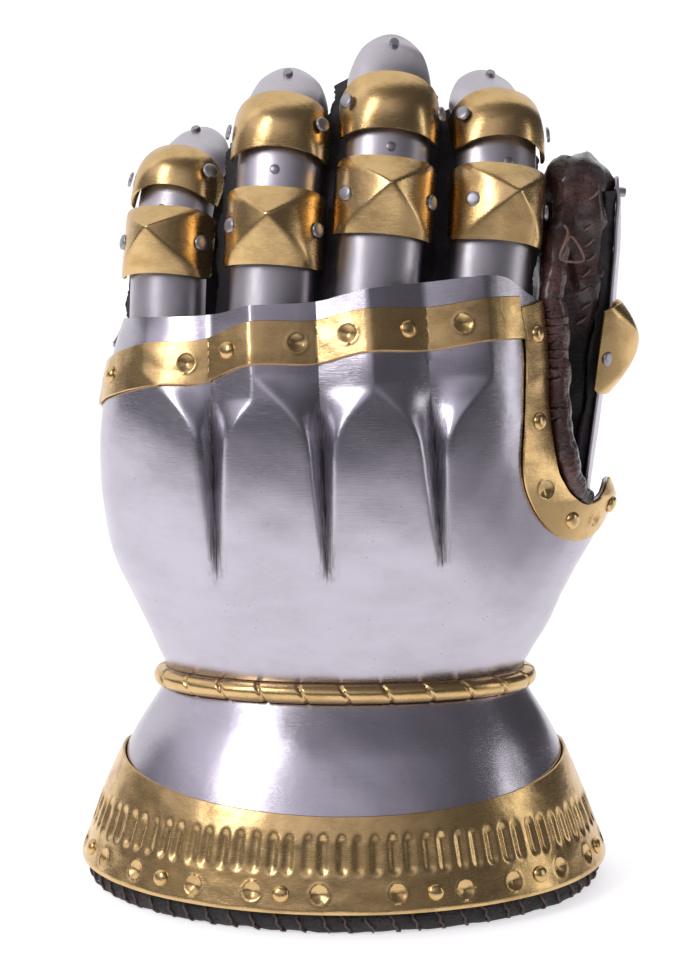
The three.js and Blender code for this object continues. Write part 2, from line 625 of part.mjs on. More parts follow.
/** Adds the plates, strap, leather tube and rivets of one finger. */
function addFinger(finger) {
  const { steel, brass, leather, suede } = MATERIALS;
  const { knuckle, joint, tip, boss, dome } = finger;
  const rootFrom = LAME_START;
  const rootTo = knuckle - boss / 2 + LAME_TUCK / 2;
  const middleFrom = knuckle + boss / 2 - LAME_TUCK;
  const middleTo = joint - dome / 2 + LAME_TUCK - JOINT_LAP;
  const tipFrom = joint + JOINT_LAP;
  onFinger(finger, (rootFrom + rootTo) / 2, lame(finger, rootTo - rootFrom), steel, "root_lame");
  onFinger(finger, knuckle, bossPlate(finger), brass, "knuckle_plate");
  onFinger(finger, (middleFrom + middleTo) / 2, lame(finger, middleTo - middleFrom), steel, "middle_lame");
  onFinger(finger, joint, domePlate(finger), brass, "joint_plate");
  onFinger(finger, (tipFrom + tip) / 2, tipPlate(finger, tip - tipFrom), steel, "tip_plate");
  addFlankRivets(finger, knuckle, "knuckle");
  addFlankRivets(finger, joint, "joint");
  add(`${finger.name}_strap`, strap(finger, STRAP_START, tip - STRAP_SHORT), suede);
  add(`${finger.name}_stall`, stall(finger, STALL_START, tip - STALL_SHORT), leather);
}

/** Adds the thumb, whose one brass plate stands between two steel ones. */
function addThumb() {
  const { steel, brass, leather, suede } = MATERIALS;
  const { knuckle, tip, boss } = THUMB;
  const rootFrom = THUMB_START;
  const rootTo = knuckle - boss / 2 + LAME_TUCK / 2;
  const tipFrom = knuckle + boss / 2 - LAME_TUCK / 2;
  onFinger(THUMB, (rootFrom + rootTo) / 2, lame(THUMB, rootTo - rootFrom), steel, "root_lame");
  onFinger(THUMB, knuckle, bossPlate(THUMB), brass, "knuckle_plate");
  onFinger(THUMB, (tipFrom + tip) / 2, tipPlate(THUMB, tip - tipFrom), steel, "tip_plate");
  add("thumb_strap", strap(THUMB, THUMB_START, tip - STRAP_SHORT), suede);
  add("thumb_stall", stall(THUMB, THUMB_STALL_START, tip + THUMB_STALL_LONG), leather);
}

add("hourglass_plate", hourglassPlate(), MATERIALS.steel);
add("waist_rope", waistRope(), MATERIALS.brass);
add("cuff_band", cuffBand(), MATERIALS.brass);
add("knuckle_band", knuckleBand(), MATERIALS.brass);
add("thumb_band", thumbBand(), MATERIALS.brass);
add("cuff_lining", cuffLining(), MATERIALS.suede);
add("glove_hand", gloveHand(), MATERIALS.leather);
for (const finger of FINGERS) addFinger(finger);
addThumb();

gauntlet.position.set(-MIDDLE[0], -MIDDLE[1], 0);
const standing = new THREE.Group();
standing.add(gauntlet);

export default standing;
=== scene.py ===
"""Left-hand hourglass gauntlet: fine surfaces, finishes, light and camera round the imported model.

Sizes are in millimetres in the gauntlet's own frame: the back of the hand faces -Y, the thumb is at +X and
the fingers point up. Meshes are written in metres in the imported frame.
"""

import logging
import math
from dataclasses import dataclass, field
from enum import Enum
from typing import Callable, Sequence

import bpy
import numpy as np
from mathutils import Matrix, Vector


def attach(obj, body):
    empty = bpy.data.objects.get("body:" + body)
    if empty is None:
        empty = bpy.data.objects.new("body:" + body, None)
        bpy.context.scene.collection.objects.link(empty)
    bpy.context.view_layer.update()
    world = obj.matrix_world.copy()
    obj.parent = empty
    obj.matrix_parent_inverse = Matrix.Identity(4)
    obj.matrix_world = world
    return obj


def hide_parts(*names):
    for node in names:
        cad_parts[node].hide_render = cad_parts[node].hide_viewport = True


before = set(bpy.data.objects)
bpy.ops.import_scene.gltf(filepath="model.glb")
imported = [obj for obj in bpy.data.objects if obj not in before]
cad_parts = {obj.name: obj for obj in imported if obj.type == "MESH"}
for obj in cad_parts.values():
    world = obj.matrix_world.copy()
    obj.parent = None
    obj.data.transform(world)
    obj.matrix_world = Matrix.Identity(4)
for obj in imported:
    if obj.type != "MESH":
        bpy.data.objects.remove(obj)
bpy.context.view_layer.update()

LOG = logging.getLogger("gauntlet")
MM = 0.001
MIDDLE = np.array([2.84, -4.45, 0.0])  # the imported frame's origin, in the gauntlet's own frame
ROOT = "root"
RNG_SEED = 7

Array = np.ndarray
Rows = Sequence[Sequence[float]]
Mesh = tuple[Array, list[tuple[int, ...]]]  # points and faces


# -------------------------------------------------------------------------------- small maths
def smooth(low: float, high: float, x: Array | float) -> Array:
    """Smooth step from 0 at low to 1 at high."""
    t = np.clip((np.asarray(x, float) - low) / (high - low), 0, 1)
    return t * t * (3 - 2 * t)


def table(rows: Rows, x: Array | float) -> Array:
    """Value of rows of (place, value) at x, in straight steps."""
    return np.interp(x, [row[0] for row in rows], [row[1] for row in rows])


def curve(rows: Rows, x: Array | float, column: int = 1) -> Array:
    """Value of rows at x on a smooth curve through them, straight in the first step.

    Args:
        rows: Rows of (place, value, ...).
        x: Places to read.
        column: Which value of each row.

    Returns:
        The values at x.
    """
    places = np.array([row[0] for row in rows])
    values = np.array([row[column] for row in rows])
    x = np.asarray(x, float)
    i = np.clip(np.searchsorted(places, x), 1, len(rows) - 1)
    step = places[i] - places[i - 1]
    t = np.clip((x - places[i - 1]) / step, 0, 1)
    before = np.maximum(i - 2, 0)
    after = np.minimum(i + 1, len(rows) - 1)
    slope_a = (values[i] - values[before]) / (places[i] - places[before])
    slope_b = (values[after] - values[i - 1]) / (places[after] - places[i - 1])
    t2, t3 = t * t, t * t * t
    bent = ((2 * t3 - 3 * t2 + 1) * values[i - 1] + (t3 - 2 * t2 + t) * step * slope_a
            + (3 * t2 - 2 * t3) * values[i] + (t3 - t2) * step * slope_b)
    return np.where(i < 2, values[i - 1] + (values[i] - values[i - 1]) * t, bent)


def spline(points: Rows, per_span: int) -> Array:
    """Points on an even Catmull-Rom curve through corners.

    Args:
        points: The corners.
        per_span: Steps between two corners.

    Returns:
        Points on the curve.
    """
    p = np.array(points, float)
    p = np.vstack([p[0], p, p[-1]])
    out = []
    for i in range(1, len(p) - 2):
        for t in np.arange(per_span) / per_span:
            a, b, c, d = p[i - 1:i + 3]
            out.append(0.5 * (2 * b + (c - a) * t + (2 * a - 5 * b + 4 * c - d) * t ** 2
                              + (3 * b - a - 3 * c + d) * t ** 3))
    out.append(p[-2])
    return np.array(out)


def unit(vectors: Array) -> Array:
    """Vectors at length 1."""
    return vectors / np.maximum(np.linalg.norm(vectors, axis=-1, keepdims=True), 1e-9)


def signed_power(x: Array, power: Array | float) -> Array:
    """x to a power, keeping its sign."""
    return np.sign(x) * np.abs(x) ** power


def ripple(points: Array, length: float, seed: int) -> Array:
    """Smooth random waves in space, about -1 to 1.

    Args:
        points: Places, in millimetres.
        length: Rough distance between crests.
        seed: Which pattern.

    Returns:
        One value a point.
    """
    rng = np.random.default_rng(RNG_SEED + seed)
    total = np.zeros(len(points))
    for _ in range(9):
        way = unit(rng.normal(size=3)) * rng.uniform(0.6, 1.6) * math.tau / length
        total += np.sin(points @ way + rng.uniform(0, math.tau))
    return total / 4.5


# -------------------------------------------------------------------------------- mesh making
def grid_faces(rows: int, columns: int, closed: bool = False) -> Array:
    """Quads of a grid, facing out when columns run towards the thumb and rows run up.

    Args:
        rows: Points up the grid.
        columns: Points across it.
        closed: Whether its last column joins its first.

    Returns:
        Rows of four point numbers.
    """
    last = columns if closed else columns - 1
    r, c = np.meshgrid(np.arange(rows - 1), np.arange(last), indexing="ij")
    a, b = (r * columns + c).ravel(), (r * columns + (c + 1) % columns).ravel()
    return np.stack([a, b, b + columns, a + columns], axis=1)


def vertex_normals(points: Array, quads: Array) -> Array:
    """Outward normals of a sheet at its points.

    Args:
        points: Its points.
        quads: Its faces.

    Returns:
        One direction a point.
    """
    a, b, c, d = (points[quads[:, k]] for k in range(4))
    face = np.cross(c - a, d - b)
    total = np.zeros_like(points)
    for k in range(4):
        np.add.at(total, quads[:, k], face)
    return unit(total)


def shell(points: Array, quads: Array, back: float, front: float = 0.0, lip: float = 0.0) -> Mesh:
    """A closed sheet of metal or leather with rounded edges.

    Args:
        points: The sheet.
        quads: Its faces.
        back: How far its back lies behind the sheet.
        front: How far its face stands before the sheet.
        lip: Radius of the rounding along its free edges.

    Returns:
        Points and faces of the solid.
    """
    normals = vertex_normals(points, quads)
    count = len(points)
    edges = {}
    for quad in quads.tolist():
        for a, b in zip(quad, quad[1:] + quad[:1]):
            edges[(a, b)] = True
    free = [(a, b) for a, b in edges if (b, a) not in edges]
    faces = [tuple(q) for q in quads.tolist()]
    faces += [tuple(count + v for v in reversed(q)) for q in quads.tolist()]
    face = points + normals * front
    rear = points - normals * back
    if not lip:
        faces += [(b, a, a + count, b + count) for a, b in free]
        return np.vstack([face, rear]), faces
    following, leading = dict(free), {b: a for a, b in free}
    rim = sorted(set(following) & set(leading))
    place = {v: i for i, v in enumerate(rim)}
    ahead = points[[following[v] for v in rim]] - points[[leading[v] for v in rim]]
    out = np.cross(unit(ahead), normals[rim])
    middle = (face[rim] + rear[rim]) / 2 + out * lip
    faces += [(b, a, 2 * count + place[a], 2 * count + place[b]) for a, b in free]
    faces += [(b + count, 2 * count + place[b], 2 * count + place[a], a + count) for a, b in free]
    return np.vstack([face, rear, middle]), faces


def make_piece(name: str, points: Array, faces: Sequence[Sequence[int]], material: bpy.types.Material,
               slot: str, stands_for: Sequence[str] = (), masks: dict[str, Array] | None = None,
               sharp: float = 50.0) -> bpy.types.Object:
    """A finished piece of the gauntlet that rides on its body.

    Args:
        name: Name of the piece.
        points: Its points, in millimetres, in the gauntlet's own frame.
        faces: Its faces.
        material: Its finish.
        slot: The record's material slot; not used.
        stands_for: The plain solids that it takes the place of.
        masks: Named values at its points that the finish reads.
        sharp: Edges that turn by more than this many degrees are shaded sharp.

    Returns:
        The object.
    """
    mesh = bpy.data.meshes.new(name)
    mesh.from_pydata(((points - MIDDLE) * MM).tolist(), [], [tuple(f) for f in faces])
    mesh.validate()
    mesh.shade_smooth()
    mesh.set_sharp_from_angle(angle=math.radians(sharp))
    for mask, values in (masks or {}).items():
        mesh.attributes.new(mask, "FLOAT", "POINT").data.foreach_set("value", np.asarray(values, np.float32))
    mesh.materials.append(material)
    piece = bpy.data.objects.new(name, mesh)
    bpy.context.scene.collection.objects.link(piece)
    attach(piece, ROOT)
    if stands_for:
        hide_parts(*stands_for)
    LOG.info("%s: %d faces", name, len(mesh.polygons))
    return piece


class Heap:
    """Many small meshes gathered into one piece."""

    def __init__(self) -> None:
        """Starts with nothing."""
        self.points: list[Array] = []
        self.faces: list[tuple[int, ...]] = []
        self.count = 0

    def add(self, points: Array, faces: Sequence[Sequence[int]]) -> None:
        """Adds one mesh.

        Args:
            points: Its points.
            faces: Its faces.
        """
        self.faces += [tuple(int(v) + self.count for v in face) for face in faces]
        self.points.append(points)
        self.count += len(points)

    def mesh(self) -> Mesh:
        """Points and faces of all of them."""
        return np.vstack(self.points), self.faces


def lathe(profile: Rows, foot: Array, outward: Array, sides: int = 20) -> Mesh:
    """A turned shape that stands on a surface.

    Args:
        profile: Rows of (radius, height) from the foot's edge to the middle of the top.
        foot: Its place.
        outward: The surface's direction there.
        sides: Steps round it.

    Returns:
        Points and faces, open underneath.
    """
    outward = unit(np.asarray(outward, float))
    across = unit(np.cross(outward, [0.31, 0.2, 0.93]))
    along = np.cross(outward, across)
    turn = np.arange(sides) * math.tau / sides
    rings = [foot + outward * h + r * (np.outer(np.cos(turn), across) + np.outer(np.sin(turn), along))
             for r, h in profile[:-1]]
    top = foot + outward * profile[-1][1]
    quads = [tuple(q) for q in grid_faces(len(rings), sides, True).tolist()]
    last = (len(rings) - 1) * sides
    quads += [(last + i, last + (i + 1) % sides, len(rings) * sides) for i in range(sides)]
    quads.append(tuple(range(sides - 1, -1, -1)))
    return np.vstack([*rings, top]), quads


def cord(path: Array, radius: float, sides: int = 8) -> Mesh:
    """A closed round strand along a path, for thread.

    Args:
        path: Places along its middle.
        radius: Its radius.
        sides: Steps round it.

    Returns:
        Points and faces of the strand.
    """
    ahead = unit(np.gradient(path, axis=0))
    across = unit(np.cross(ahead, [0.2, 0.35, 0.91]))
    other = np.cross(ahead, across)
    turn = np.arange(sides) * math.tau / sides
    ring = np.cos(turn)[None, :, None] * across[:, None] + np.sin(turn)[None, :, None] * other[:, None]
    points = (path[:, None] + radius * ring).reshape(-1, 3)
    faces = [tuple(q) for q in grid_faces(len(path), sides, True).tolist()]
    last = (len(path) - 1) * sides
    return points, faces + [tuple(range(sides - 1, -1, -1)), tuple(range(last, last + sides))]


# -------------------------------------------------------------------------------- the body's surface
@dataclass(frozen=True)
class Furrow:
    """A fold between two knuckles: x at its top and foot, height of its foot, reach to both ridges."""

    top: float
    foot: float
    foot_z: float
    left: float
    right: float


@dataclass(frozen=True)
class Body:
    """The surface of the hourglass: rings at each height, furrows and the swelling at the thumb's root."""

    rim_z: float = 6.3
    waist_z: float = 56.5
    lean: float = math.tan(math.radians(4.7))
    hand_squareness: float = 2.3
    girth: float = 45.0
    sections: Rows = (
        (6.3, 72.8, 72.2, 59.0, 50.0), (23, 67.0, 65.9, 53.4, 46.0), (40.5, 58.8, 58.4, 44.0, 40.0),
        (53.4, 51.0, 50.9, 35.0, 35.0), (56.5, 49.3, 49.3, 33.3, 33.2), (59.6, 49.5, 49.5, 33.4, 33.2),
        (64, 51.6, 51.8, 34.8, 34.0), (70, 54.2, 55.2, 36.6, 34.6), (79, 58.4, 58.6, 39.4, 34.8),
        (90, 63.6, 60.4, 42.6, 35), (105, 66.6, 60.8, 45.4, 35), (121, 67.4, 59.8, 47.0, 35),
        (134, 66.2, 58.8, 46.8, 35), (146, 63.6, 58.0, 45.2, 34), (156, 60.6, 57.6, 42.8, 33),
        (175, 57.0, 57.0, 38.6, 32))
    thumb_swell: Rows = ((66, 0), (79, 1), (86, 3.2), (95, 7.8), (101, 10.2), (107, 13), (112, 12),
                         (117, 8.7), (125, 3), (133, 0))
    furrows: tuple[Furrow, ...] = (
        Furrow(-36.0, -34.0, 84, 17.5, 11.0), Furrow(-8.0, -4.4, 87, 17.0, 13.7),
        Furrow(20.6, 25.8, 91, 14.9, 16.4))
    furrow_top_z: float = 166.0
    furrow_depth: Rows = ((84, 0), (90, 1.0), (98, 2.6), (107, 3.9), (116, 5.0), (126, 5.6), (141, 5.2),
                          (172, 5.0))
    furrow_reach: Rows = ((84, 1.2), (92, 2.2), (100, 2.9), (110, 3.4), (120, 3.9), (126, 4.7), (129, 5.9),
                          (132, 7.8), (136, 11.2), (140, 15.2), (145, 20))

    def furrow(self, x: Array, z: Array) -> tuple[Array, Array]:
        """Furrows on the front of the hand.

        Args:
            x: Sideways places.
            z: Levels.

        Returns:
            How deep the furrows are there, and how near the bottom of one each place is, 0 to 1.
        """
        depth = np.zeros_like(x)
        near = np.zeros_like(x)
        for f in self.furrows:
            middle = f.foot + (f.top - f.foot) * (z - f.foot_z) / (self.furrow_top_z - f.foot_z)
            shifted = z - (f.foot_z - self.furrows[0].foot_z) * (1 - smooth(90, 130, z))
            side = np.where(x < middle, f.left, f.right)
            reach = np.minimum(side, table(self.furrow_reach, shifted))
            share = np.clip(1 - np.abs(x - middle) / reach, 0, 1) * (z > f.foot_z)
            bend = 1.55 - 0.5 * smooth(126, 142, z)
            depth = np.maximum(depth, table(self.furrow_depth, shifted) * share ** bend)
            groove = np.clip(1 - np.abs(x - middle) / 2.6, 0, 1) * (z > f.foot_z + 1)
            near = np.maximum(near, groove * smooth(84, 92, z) * (1 - smooth(128, 140, z)))
        return depth, near

    def point(self, angle: Array, z: Array) -> Array:
        """Places on the surface.

        Args:
            angle: Angles in degrees from the front towards the thumb.
            z: Heights of the levels.

        Returns:
            The places.
        """
        angle, z = np.broadcast_arrays(np.asarray(angle, float), np.asarray(z, float))
        power = 2 / (2 + (self.hand_squareness - 2) * smooth(self.waist_z, 100, z))
        sin, cos = np.sin(np.radians(angle)), np.cos(np.radians(angle))
        half = np.where(sin < 0, curve(self.sections, z, 1), curve(self.sections, z, 2))
        deep = np.where(cos > 0, curve(self.sections, z, 3), curve(self.sections, z, 4))
        swell = table(self.thumb_swell, z) * smooth(45, 90, angle) * (1 - smooth(90, 165, angle))
        x = half * signed_power(sin, power) + swell
        y = -deep * signed_power(cos, power) + self.furrow(x, z)[0] * smooth(0, 0.5, cos)
        tilt = self.lean * smooth(self.rim_z, self.waist_z, z)
        return np.stack([x, y + self.lean * np.maximum(0, z - self.waist_z), z - y * tilt], axis=-1)

    def normal(self, angle: Array, z: Array) -> Array:
        """Outward directions of the surface.

        Args:
            angle: Angles in degrees.
            z: Heights of the levels.

        Returns:
            The directions.
        """
        step = 0.6
        angle, z = np.asarray(angle, float), np.asarray(z, float)
        across = self.point(angle + step, z) - self.point(angle - step, z)
        up = self.point(angle, z + step) - self.point(angle, z - step)
        return unit(np.cross(across, up))

    def off(self, angle: Array, z: Array, outward: Array | float) -> Array:
        """Places at a distance off the surface."""
        return self.point(angle, z) + self.normal(angle, z) * np.asarray(outward)[..., None]

    def angle_at(self, x: Array, z: Array) -> Array:
        """Angles at which the front of the body is at x.

        Args:
            x: Sideways places.
            z: Heights of the levels.

        Returns:
            The angles in degrees.
        """
        x, z = np.asarray(x, float), np.asarray(z, float)
        half = np.where(x < 0, curve(self.sections, z, 1), curve(self.sections, z, 2))
        square = 2 + (self.hand_squareness - 2) * smooth(self.waist_z, 100, z)
        return np.degrees(np.arcsin(signed_power(np.clip(x / half, -1, 1), square / 2)))


BODY = Body()
THUMB_EDGE = ((63, 160.6), (65.5, 148.7), (64, 133.6), (61, 117.4), (62.5, 111), (66.5, 107), (72, 106),
              (78, 108.3), (84, 111.7))
PALM_EDGE_RIGHT = ((90, 111), (98, 105), (112, 95), (132, 83), (155, 74), (182, 71))
PALM_EDGE_LEFT = ((-182, 71), (-155, 73), (-132, 82), (-118, 98), (-108, 118), (-101, 136), (-92, 148))
PLATE_TOP = ((-63.5, 152), (-60.9, 154.8), (-57.4, 156), (-53.5, 156.4), (-36, 157.4), (-25, 160.1),
             (-8, 161), (5.7, 164.5), (21, 166), (37, 167.8), (43, 167), (47.6, 163.6))
BAND_FOOT = ((-53.5, 138.2), (-38, 139.6), (-25, 144.8), (-8, 145), (5.7, 148.4), (21.8, 148.4), (37, 150.8),
             (46, 151))
STEEL_WALL = 1.2
BRASS_WALL = 0.8
GAP = 0.35  # between the steel and the brass or lining on it
LIP = 0.22  # rounding of cut edges


def edge_line(corners: Rows) -> Array:
    """A smooth line through corners on the body.

    Args:
        corners: Rows of (angle, height).

    Returns:
        Rows of (angle, height).
    """
    scale = math.radians(BODY.girth)
    points = spline([(a * scale, z) for a, z in corners], 24)
    return np.stack([points[:, 0] / scale, points[:, 1]], axis=1)


def on_front(rows: Rows, lift: float = 0.0) -> list[tuple[float, float]]:
    """Rows of (x, z) on the front of the body as (angle, z), raised by lift."""
    return [(float(BODY.angle_at(x, z + lift)), z + lift) for x, z in rows]


class Lift:
    """Reliefs that a punch leaves in sheet metal, as offsets along its outward direction."""

    @staticmethod
    def dimple(points: Array, centre: Array, radius: float = 2.5, depth: float = 0.95) -> Array:
        """A cone sunk from the front, with a raised rim and a point at its bottom.

        Args:
            points: Places on the sheet.
            centre: Middle of the cone.
            radius: Its radius.
            depth: Its depth.

        Returns:
            The offset at each place.
        """
        away = np.linalg.norm(points - centre, axis=1)
        cone = -depth * np.clip(1 - away / radius, 0, 1) ** 0.85
        rim = 0.16 * np.exp(-((away - radius - 0.1) / 0.34) ** 2)
        return cone + rim

    @staticmethod
    def stroke(across: Array, along: Array, half_width: float, half_length: float, depth: float) -> Array:
        """A flute with round ends.

        Args:
            across: Distances across it.
            along: Distances along it.
            half_width: Half its width.
            half_length: Half its length.
            depth: Its depth.

        Returns:
            The offset at each place.
        """
        beyond = np.maximum(np.abs(along) - (half_length - half_width), 0)
        away = np.hypot(across, beyond) / half_width
        return -depth * np.cos(np.clip(away, 0, 1) * math.pi / 2) ** 1.7


# -------------------------------------------------------------------------------- finishes
class Value:
    """A value socket of a shader that adds Math nodes when it is used in an expression."""

    def __init__(self, shader: "Shader", socket: bpy.types.NodeSocket) -> None:
        """Wraps an output socket."""
        self.shader = shader
        self.socket = socket

    def _math(self, operation: str, *values: "Value | float") -> "Value":
        """Adds one Math node."""
        sockets = dict(enumerate(values))
        return self.shader.node("ShaderNodeMath", {"operation": operation}, sockets).value("Value")

    def __add__(self, other: "Value | float") -> "Value":
        """Sum."""
        return self._math("ADD", self, other)

    __radd__ = __add__

    def __sub__(self, other: "Value | float") -> "Value":
        """Difference."""
        return self._math("SUBTRACT", self, other)

    def __rsub__(self, other: float) -> "Value":
        """Difference, reflected."""
        return self._math("SUBTRACT", other, self)

    def __mul__(self, other: "Value | float") -> "Value":
        """Product."""
        return self._math("MULTIPLY", self, other)

    __rmul__ = __mul__

    def between(self, low: float, high: float) -> "Value":
        """Smooth step from 0 at low to 1 at high.

        Args:
            low: Where the step starts.
            high: Where it ends.

        Returns:
            The step.
        """
        settings = {"interpolation_type": "SMOOTHSTEP"}
        sockets = {"Value": self, "From Min": low, "From Max": high}
        return self.shader.node("ShaderNodeMapRange", settings, sockets).value("Result")


class Step:
    """One shader node, whose outputs are read as values or links."""

    def __init__(self, shader: "Shader", node: bpy.types.Node) -> None:
        """Wraps a node."""
        self.shader = shader
        self.node = node

    def value(self, name: str | int = 0) -> Value:
        """One of its outputs."""
        return Value(self.shader, self.node.outputs[name])


class Shader:
    """Builds the node tree of one finish."""

    def __init__(self, name: str) -> None:
        """Starts a material with its Principled shader.

        Args:
            name: Name of the material.
        """
        self.material = bpy.data.materials.new(name)
        self.material.use_nodes = True
        self.tree = self.material.node_tree
        self.surface = self.tree.nodes["Principled BSDF"]
        self.place = self.node("ShaderNodeTexCoord", {}, {}).value("Object")

    @classmethod
    def of_world(cls, world: bpy.types.World) -> "Shader":
        """The node tree of a world's background.

        Args:
            world: The world.

        Returns:
            Its shader.
        """
        world.use_nodes = True
        shader = cls.__new__(cls)
        shader.tree = world.node_tree
        shader.surface = shader.tree.nodes["Background"]
        shader.place = shader.node("ShaderNodeTexCoord", {}, {}).value("Generated")
        return shader

    def node(self, kind: str, settings: dict[str, object], sockets: dict[str | int, object]) -> Step:
        """Adds a node.

        Args:
            kind: Its type.
            settings: Its settings, set first.
            sockets: Values or links of its inputs.

        Returns:
            The node.
        """
        node = self.tree.nodes.new(kind)
        for key, setting in settings.items():
            setattr(node, key, setting)
        self.fill(node, sockets)
        return Step(self, node)

    def fill(self, node: bpy.types.Node, sockets: dict[str | int, object]) -> None:
        """Sets or links the inputs of a node.

        Args:
            node: The node.
            sockets: Values or links of its inputs.
        """
        for key, value in sockets.items():
            if isinstance(value, Value):
                self.tree.links.new(value.socket, node.inputs[key])
            else:
                node.inputs[key].default_value = value

    def noise(self, size: float, stretch: Sequence[float] = (1, 1, 1), detail: float = 3,
              roughness: float = 0.5) -> Value:
        """Noise whose lumps are size millimetres, longer along an axis whose stretch is over 1.

        Args:
            size: Size of the lumps.
            stretch: How much longer they are along each axis.
            detail: Levels of finer noise.
            roughness: How strong the finer levels are.

        Returns:
            Values about 0.5.
        """
        scale = [1 / s for s in stretch]
        place = self.node("ShaderNodeMapping", {}, {"Vector": self.place, "Scale": scale}).value()
        sockets = {"Vector": place, "Scale": 1 / (size * MM), "Detail": detail, "Roughness": roughness}
        return self.node("ShaderNodeTexNoise", {}, sockets).value(0)

    def cells(self, size: float, feature: str = "F1") -> Value:
        """Distance pattern of cells of that size, in millimetres."""
        sockets = {"Vector": self.place, "Scale": 1 / (size * MM)}
        return self.node("ShaderNodeTexVoronoi", {"feature": feature}, sockets).value("Distance")

    def mask(self, name: str) -> Value:
        """A named value of the mesh."""
        settings = {"attribute_name": name, "attribute_type": "GEOMETRY"}
        return self.node("ShaderNodeAttribute", settings, {}).value("Fac")

    def mix(self, share: Value, first: object, second: object) -> Value:
        """A colour between two colours.

        Args:
            share: How much of the second there is.
            first: The first colour.
            second: The second colour.

        Returns:
            The mixed colour.
        """
        settings = {"data_type": "RGBA"}
        sockets = {0: share, 6: colour(first), 7: colour(second)}
        return self.node("ShaderNodeMix", settings, sockets).value(2)

    def bump(self, height: Value, depth: float, before: Value | None = None) -> Value:
        """A bump on top of another.

        Args:
            height: Its height, about 0 to 1.
            depth: Its depth in millimetres.
            before: The bump that it lies on.

        Returns:
            The normal.
        """
        sockets: dict[str | int, object] = {"Height": height, "Distance": depth * MM, "Strength": 1.0}
        if before is not None:
            sockets["Normal"] = before
        return self.node("ShaderNodeBump", {}, sockets).value("Normal")

    def finish(self, **sockets: object) -> bpy.types.Material:
        """Sets the Principled shader's inputs.

        Args:
            **sockets: Values or links, with _ for the spaces in their names.

        Returns:
            The material.
        """
        named = {key.replace("_", " "): colour(value) for key, value in sockets.items()}
        self.fill(self.surface, named)
        return self.material


def colour(value: object) -> object:
    """A colour of three numbers with its alpha; anything else as it is."""
    return (*value, 1.0) if isinstance(value, tuple) and len(value) == 3 else value


@dataclass(frozen=True)
class Steel:
    """Polished steel, brushed level, with fine pits, short scratches and smears of dull handling."""

    name: str = "polished_steel"
    tint: tuple[float, float, float] = (0.53, 0.498, 0.56)
    dull: tuple[float, float, float] = (0.40, 0.375, 0.40)
    roughness: float = 0.25
    brushed: float = 0.009

    def material(self) -> bpy.types.Material:
        """Builds the material.

        Returns:
            The material.
        """
        s = Shader(self.name)
        streaks = s.noise(0.11, (40, 40, 1), 3, 0.55)
        smears = s.noise(9, (2.2, 2.2, 1), 4, 0.6)
        pits = 1 - s.cells(2.3).between(0.05, 0.13)
        sparse = s.noise(11, (1, 1, 1), 2).between(0.5, 0.62)
        pits = pits * sparse
        groove = s.mask("groove")
        grind = s.noise(0.42, (1, 1, 30), 4, 0.7)
        dark = s.mix(smears.between(0.35, 0.75), self.tint, tuple(0.9 * c for c in self.tint))
        dark = s.mix(pits * 0.75, dark, self.dull)
        dark = s.mix(groove * grind.between(0.4, 0.62), dark, (0.10, 0.09, 0.085))
        rough = self.roughness + (streaks - 0.5) * 0.10 + (smears - 0.5) * 0.10 + pits * 0.2 + groove * 0.14
        normal = s.bump(streaks, self.brushed * 2)
        normal = s.bump(grind * groove, 0.35, normal)
        normal = s.bump(s.noise(7, (1, 1, 1.4), 2), 0.09, normal)
        return s.finish(Base_Color=dark, Metallic=1.0, Roughness=rough, Normal=normal)


@dataclass(frozen=True)
class Brass:
    """Polished brass, rubbed level, with hairline scratches and brown tarnish."""

    name: str = "polished_brass"
    tint: tuple[float, float, float] = (0.68, 0.465, 0.215)
    tarnish: tuple[float, float, float] = (0.36, 0.215, 0.075)
    roughness: float = 0.26

    def material(self) -> bpy.types.Material:
        """Builds the material.

        Returns:
            The material.
        """
        s = Shader(self.name)
        hairs = s.noise(0.2, (16, 16, 1), 3, 0.6)
        clouds = s.noise(6, (1.6, 1.6, 1), 5, 0.62)
        specks = 1 - s.cells(1.7).between(0.05, 0.12)
        specks = specks * s.noise(8, (1, 1, 1), 2).between(0.48, 0.6)
        shade = s.mix(clouds.between(0.42, 0.8) * 0.6, self.tint, self.tarnish)
        shade = s.mix(specks * 0.7, shade, self.tarnish)
        rough = self.roughness + (hairs - 0.5) * 0.14 + (clouds - 0.5) * 0.22
        normal = s.bump(hairs, 0.014)
        normal = s.bump(s.noise(4, (1, 1, 1), 3), 0.1, normal)
        return s.finish(Base_Color=shade, Metallic=1.0, Roughness=rough, Normal=normal)


@dataclass(frozen=True)
class Leather:
    """Leather with a pebbled grain, fine creases and rubbed, shinier high places; painted shade makes it
    near black, rougher and without coat where its inner mask is set.
    """

    name: str
    dark: tuple[float, float, float]
    light: tuple[float, float, float]
    roughness: float
    grain: float
    coat: float

    def material(self) -> bpy.types.Material:
        """Builds the material.

        Returns:
            The material.
        """
        s = Shader(self.name)
        pebbles = s.cells(self.grain)
        creases = s.noise(2.2, (1, 1, 0.45), 5, 0.6)
        patches = s.noise(14, (1, 1, 1), 4, 0.6)
        shade = s.mix(patches.between(0.35, 0.7) * pebbles.between(0.1, 0.75), self.dark, self.light)
        rough = self.roughness + (patches - 0.5) * 0.3 + (creases - 0.5) * 0.2
        normal = s.bump(pebbles, 0.16)
        normal = s.bump(creases, 0.7, normal)
        # Painted shade: the inner mask paints the leather near black, rougher and without coat, for the
        # shade inside the thumb opening.
        inner = s.mask("inner")
        shade = s.mix(inner, shade, (0.006, 0.005, 0.005))
        return s.finish(Base_Color=shade, Roughness=rough + inner * 0.4, Normal=normal,
                        Coat_Weight=self.coat * (1 - inner), Coat_Roughness=0.2)


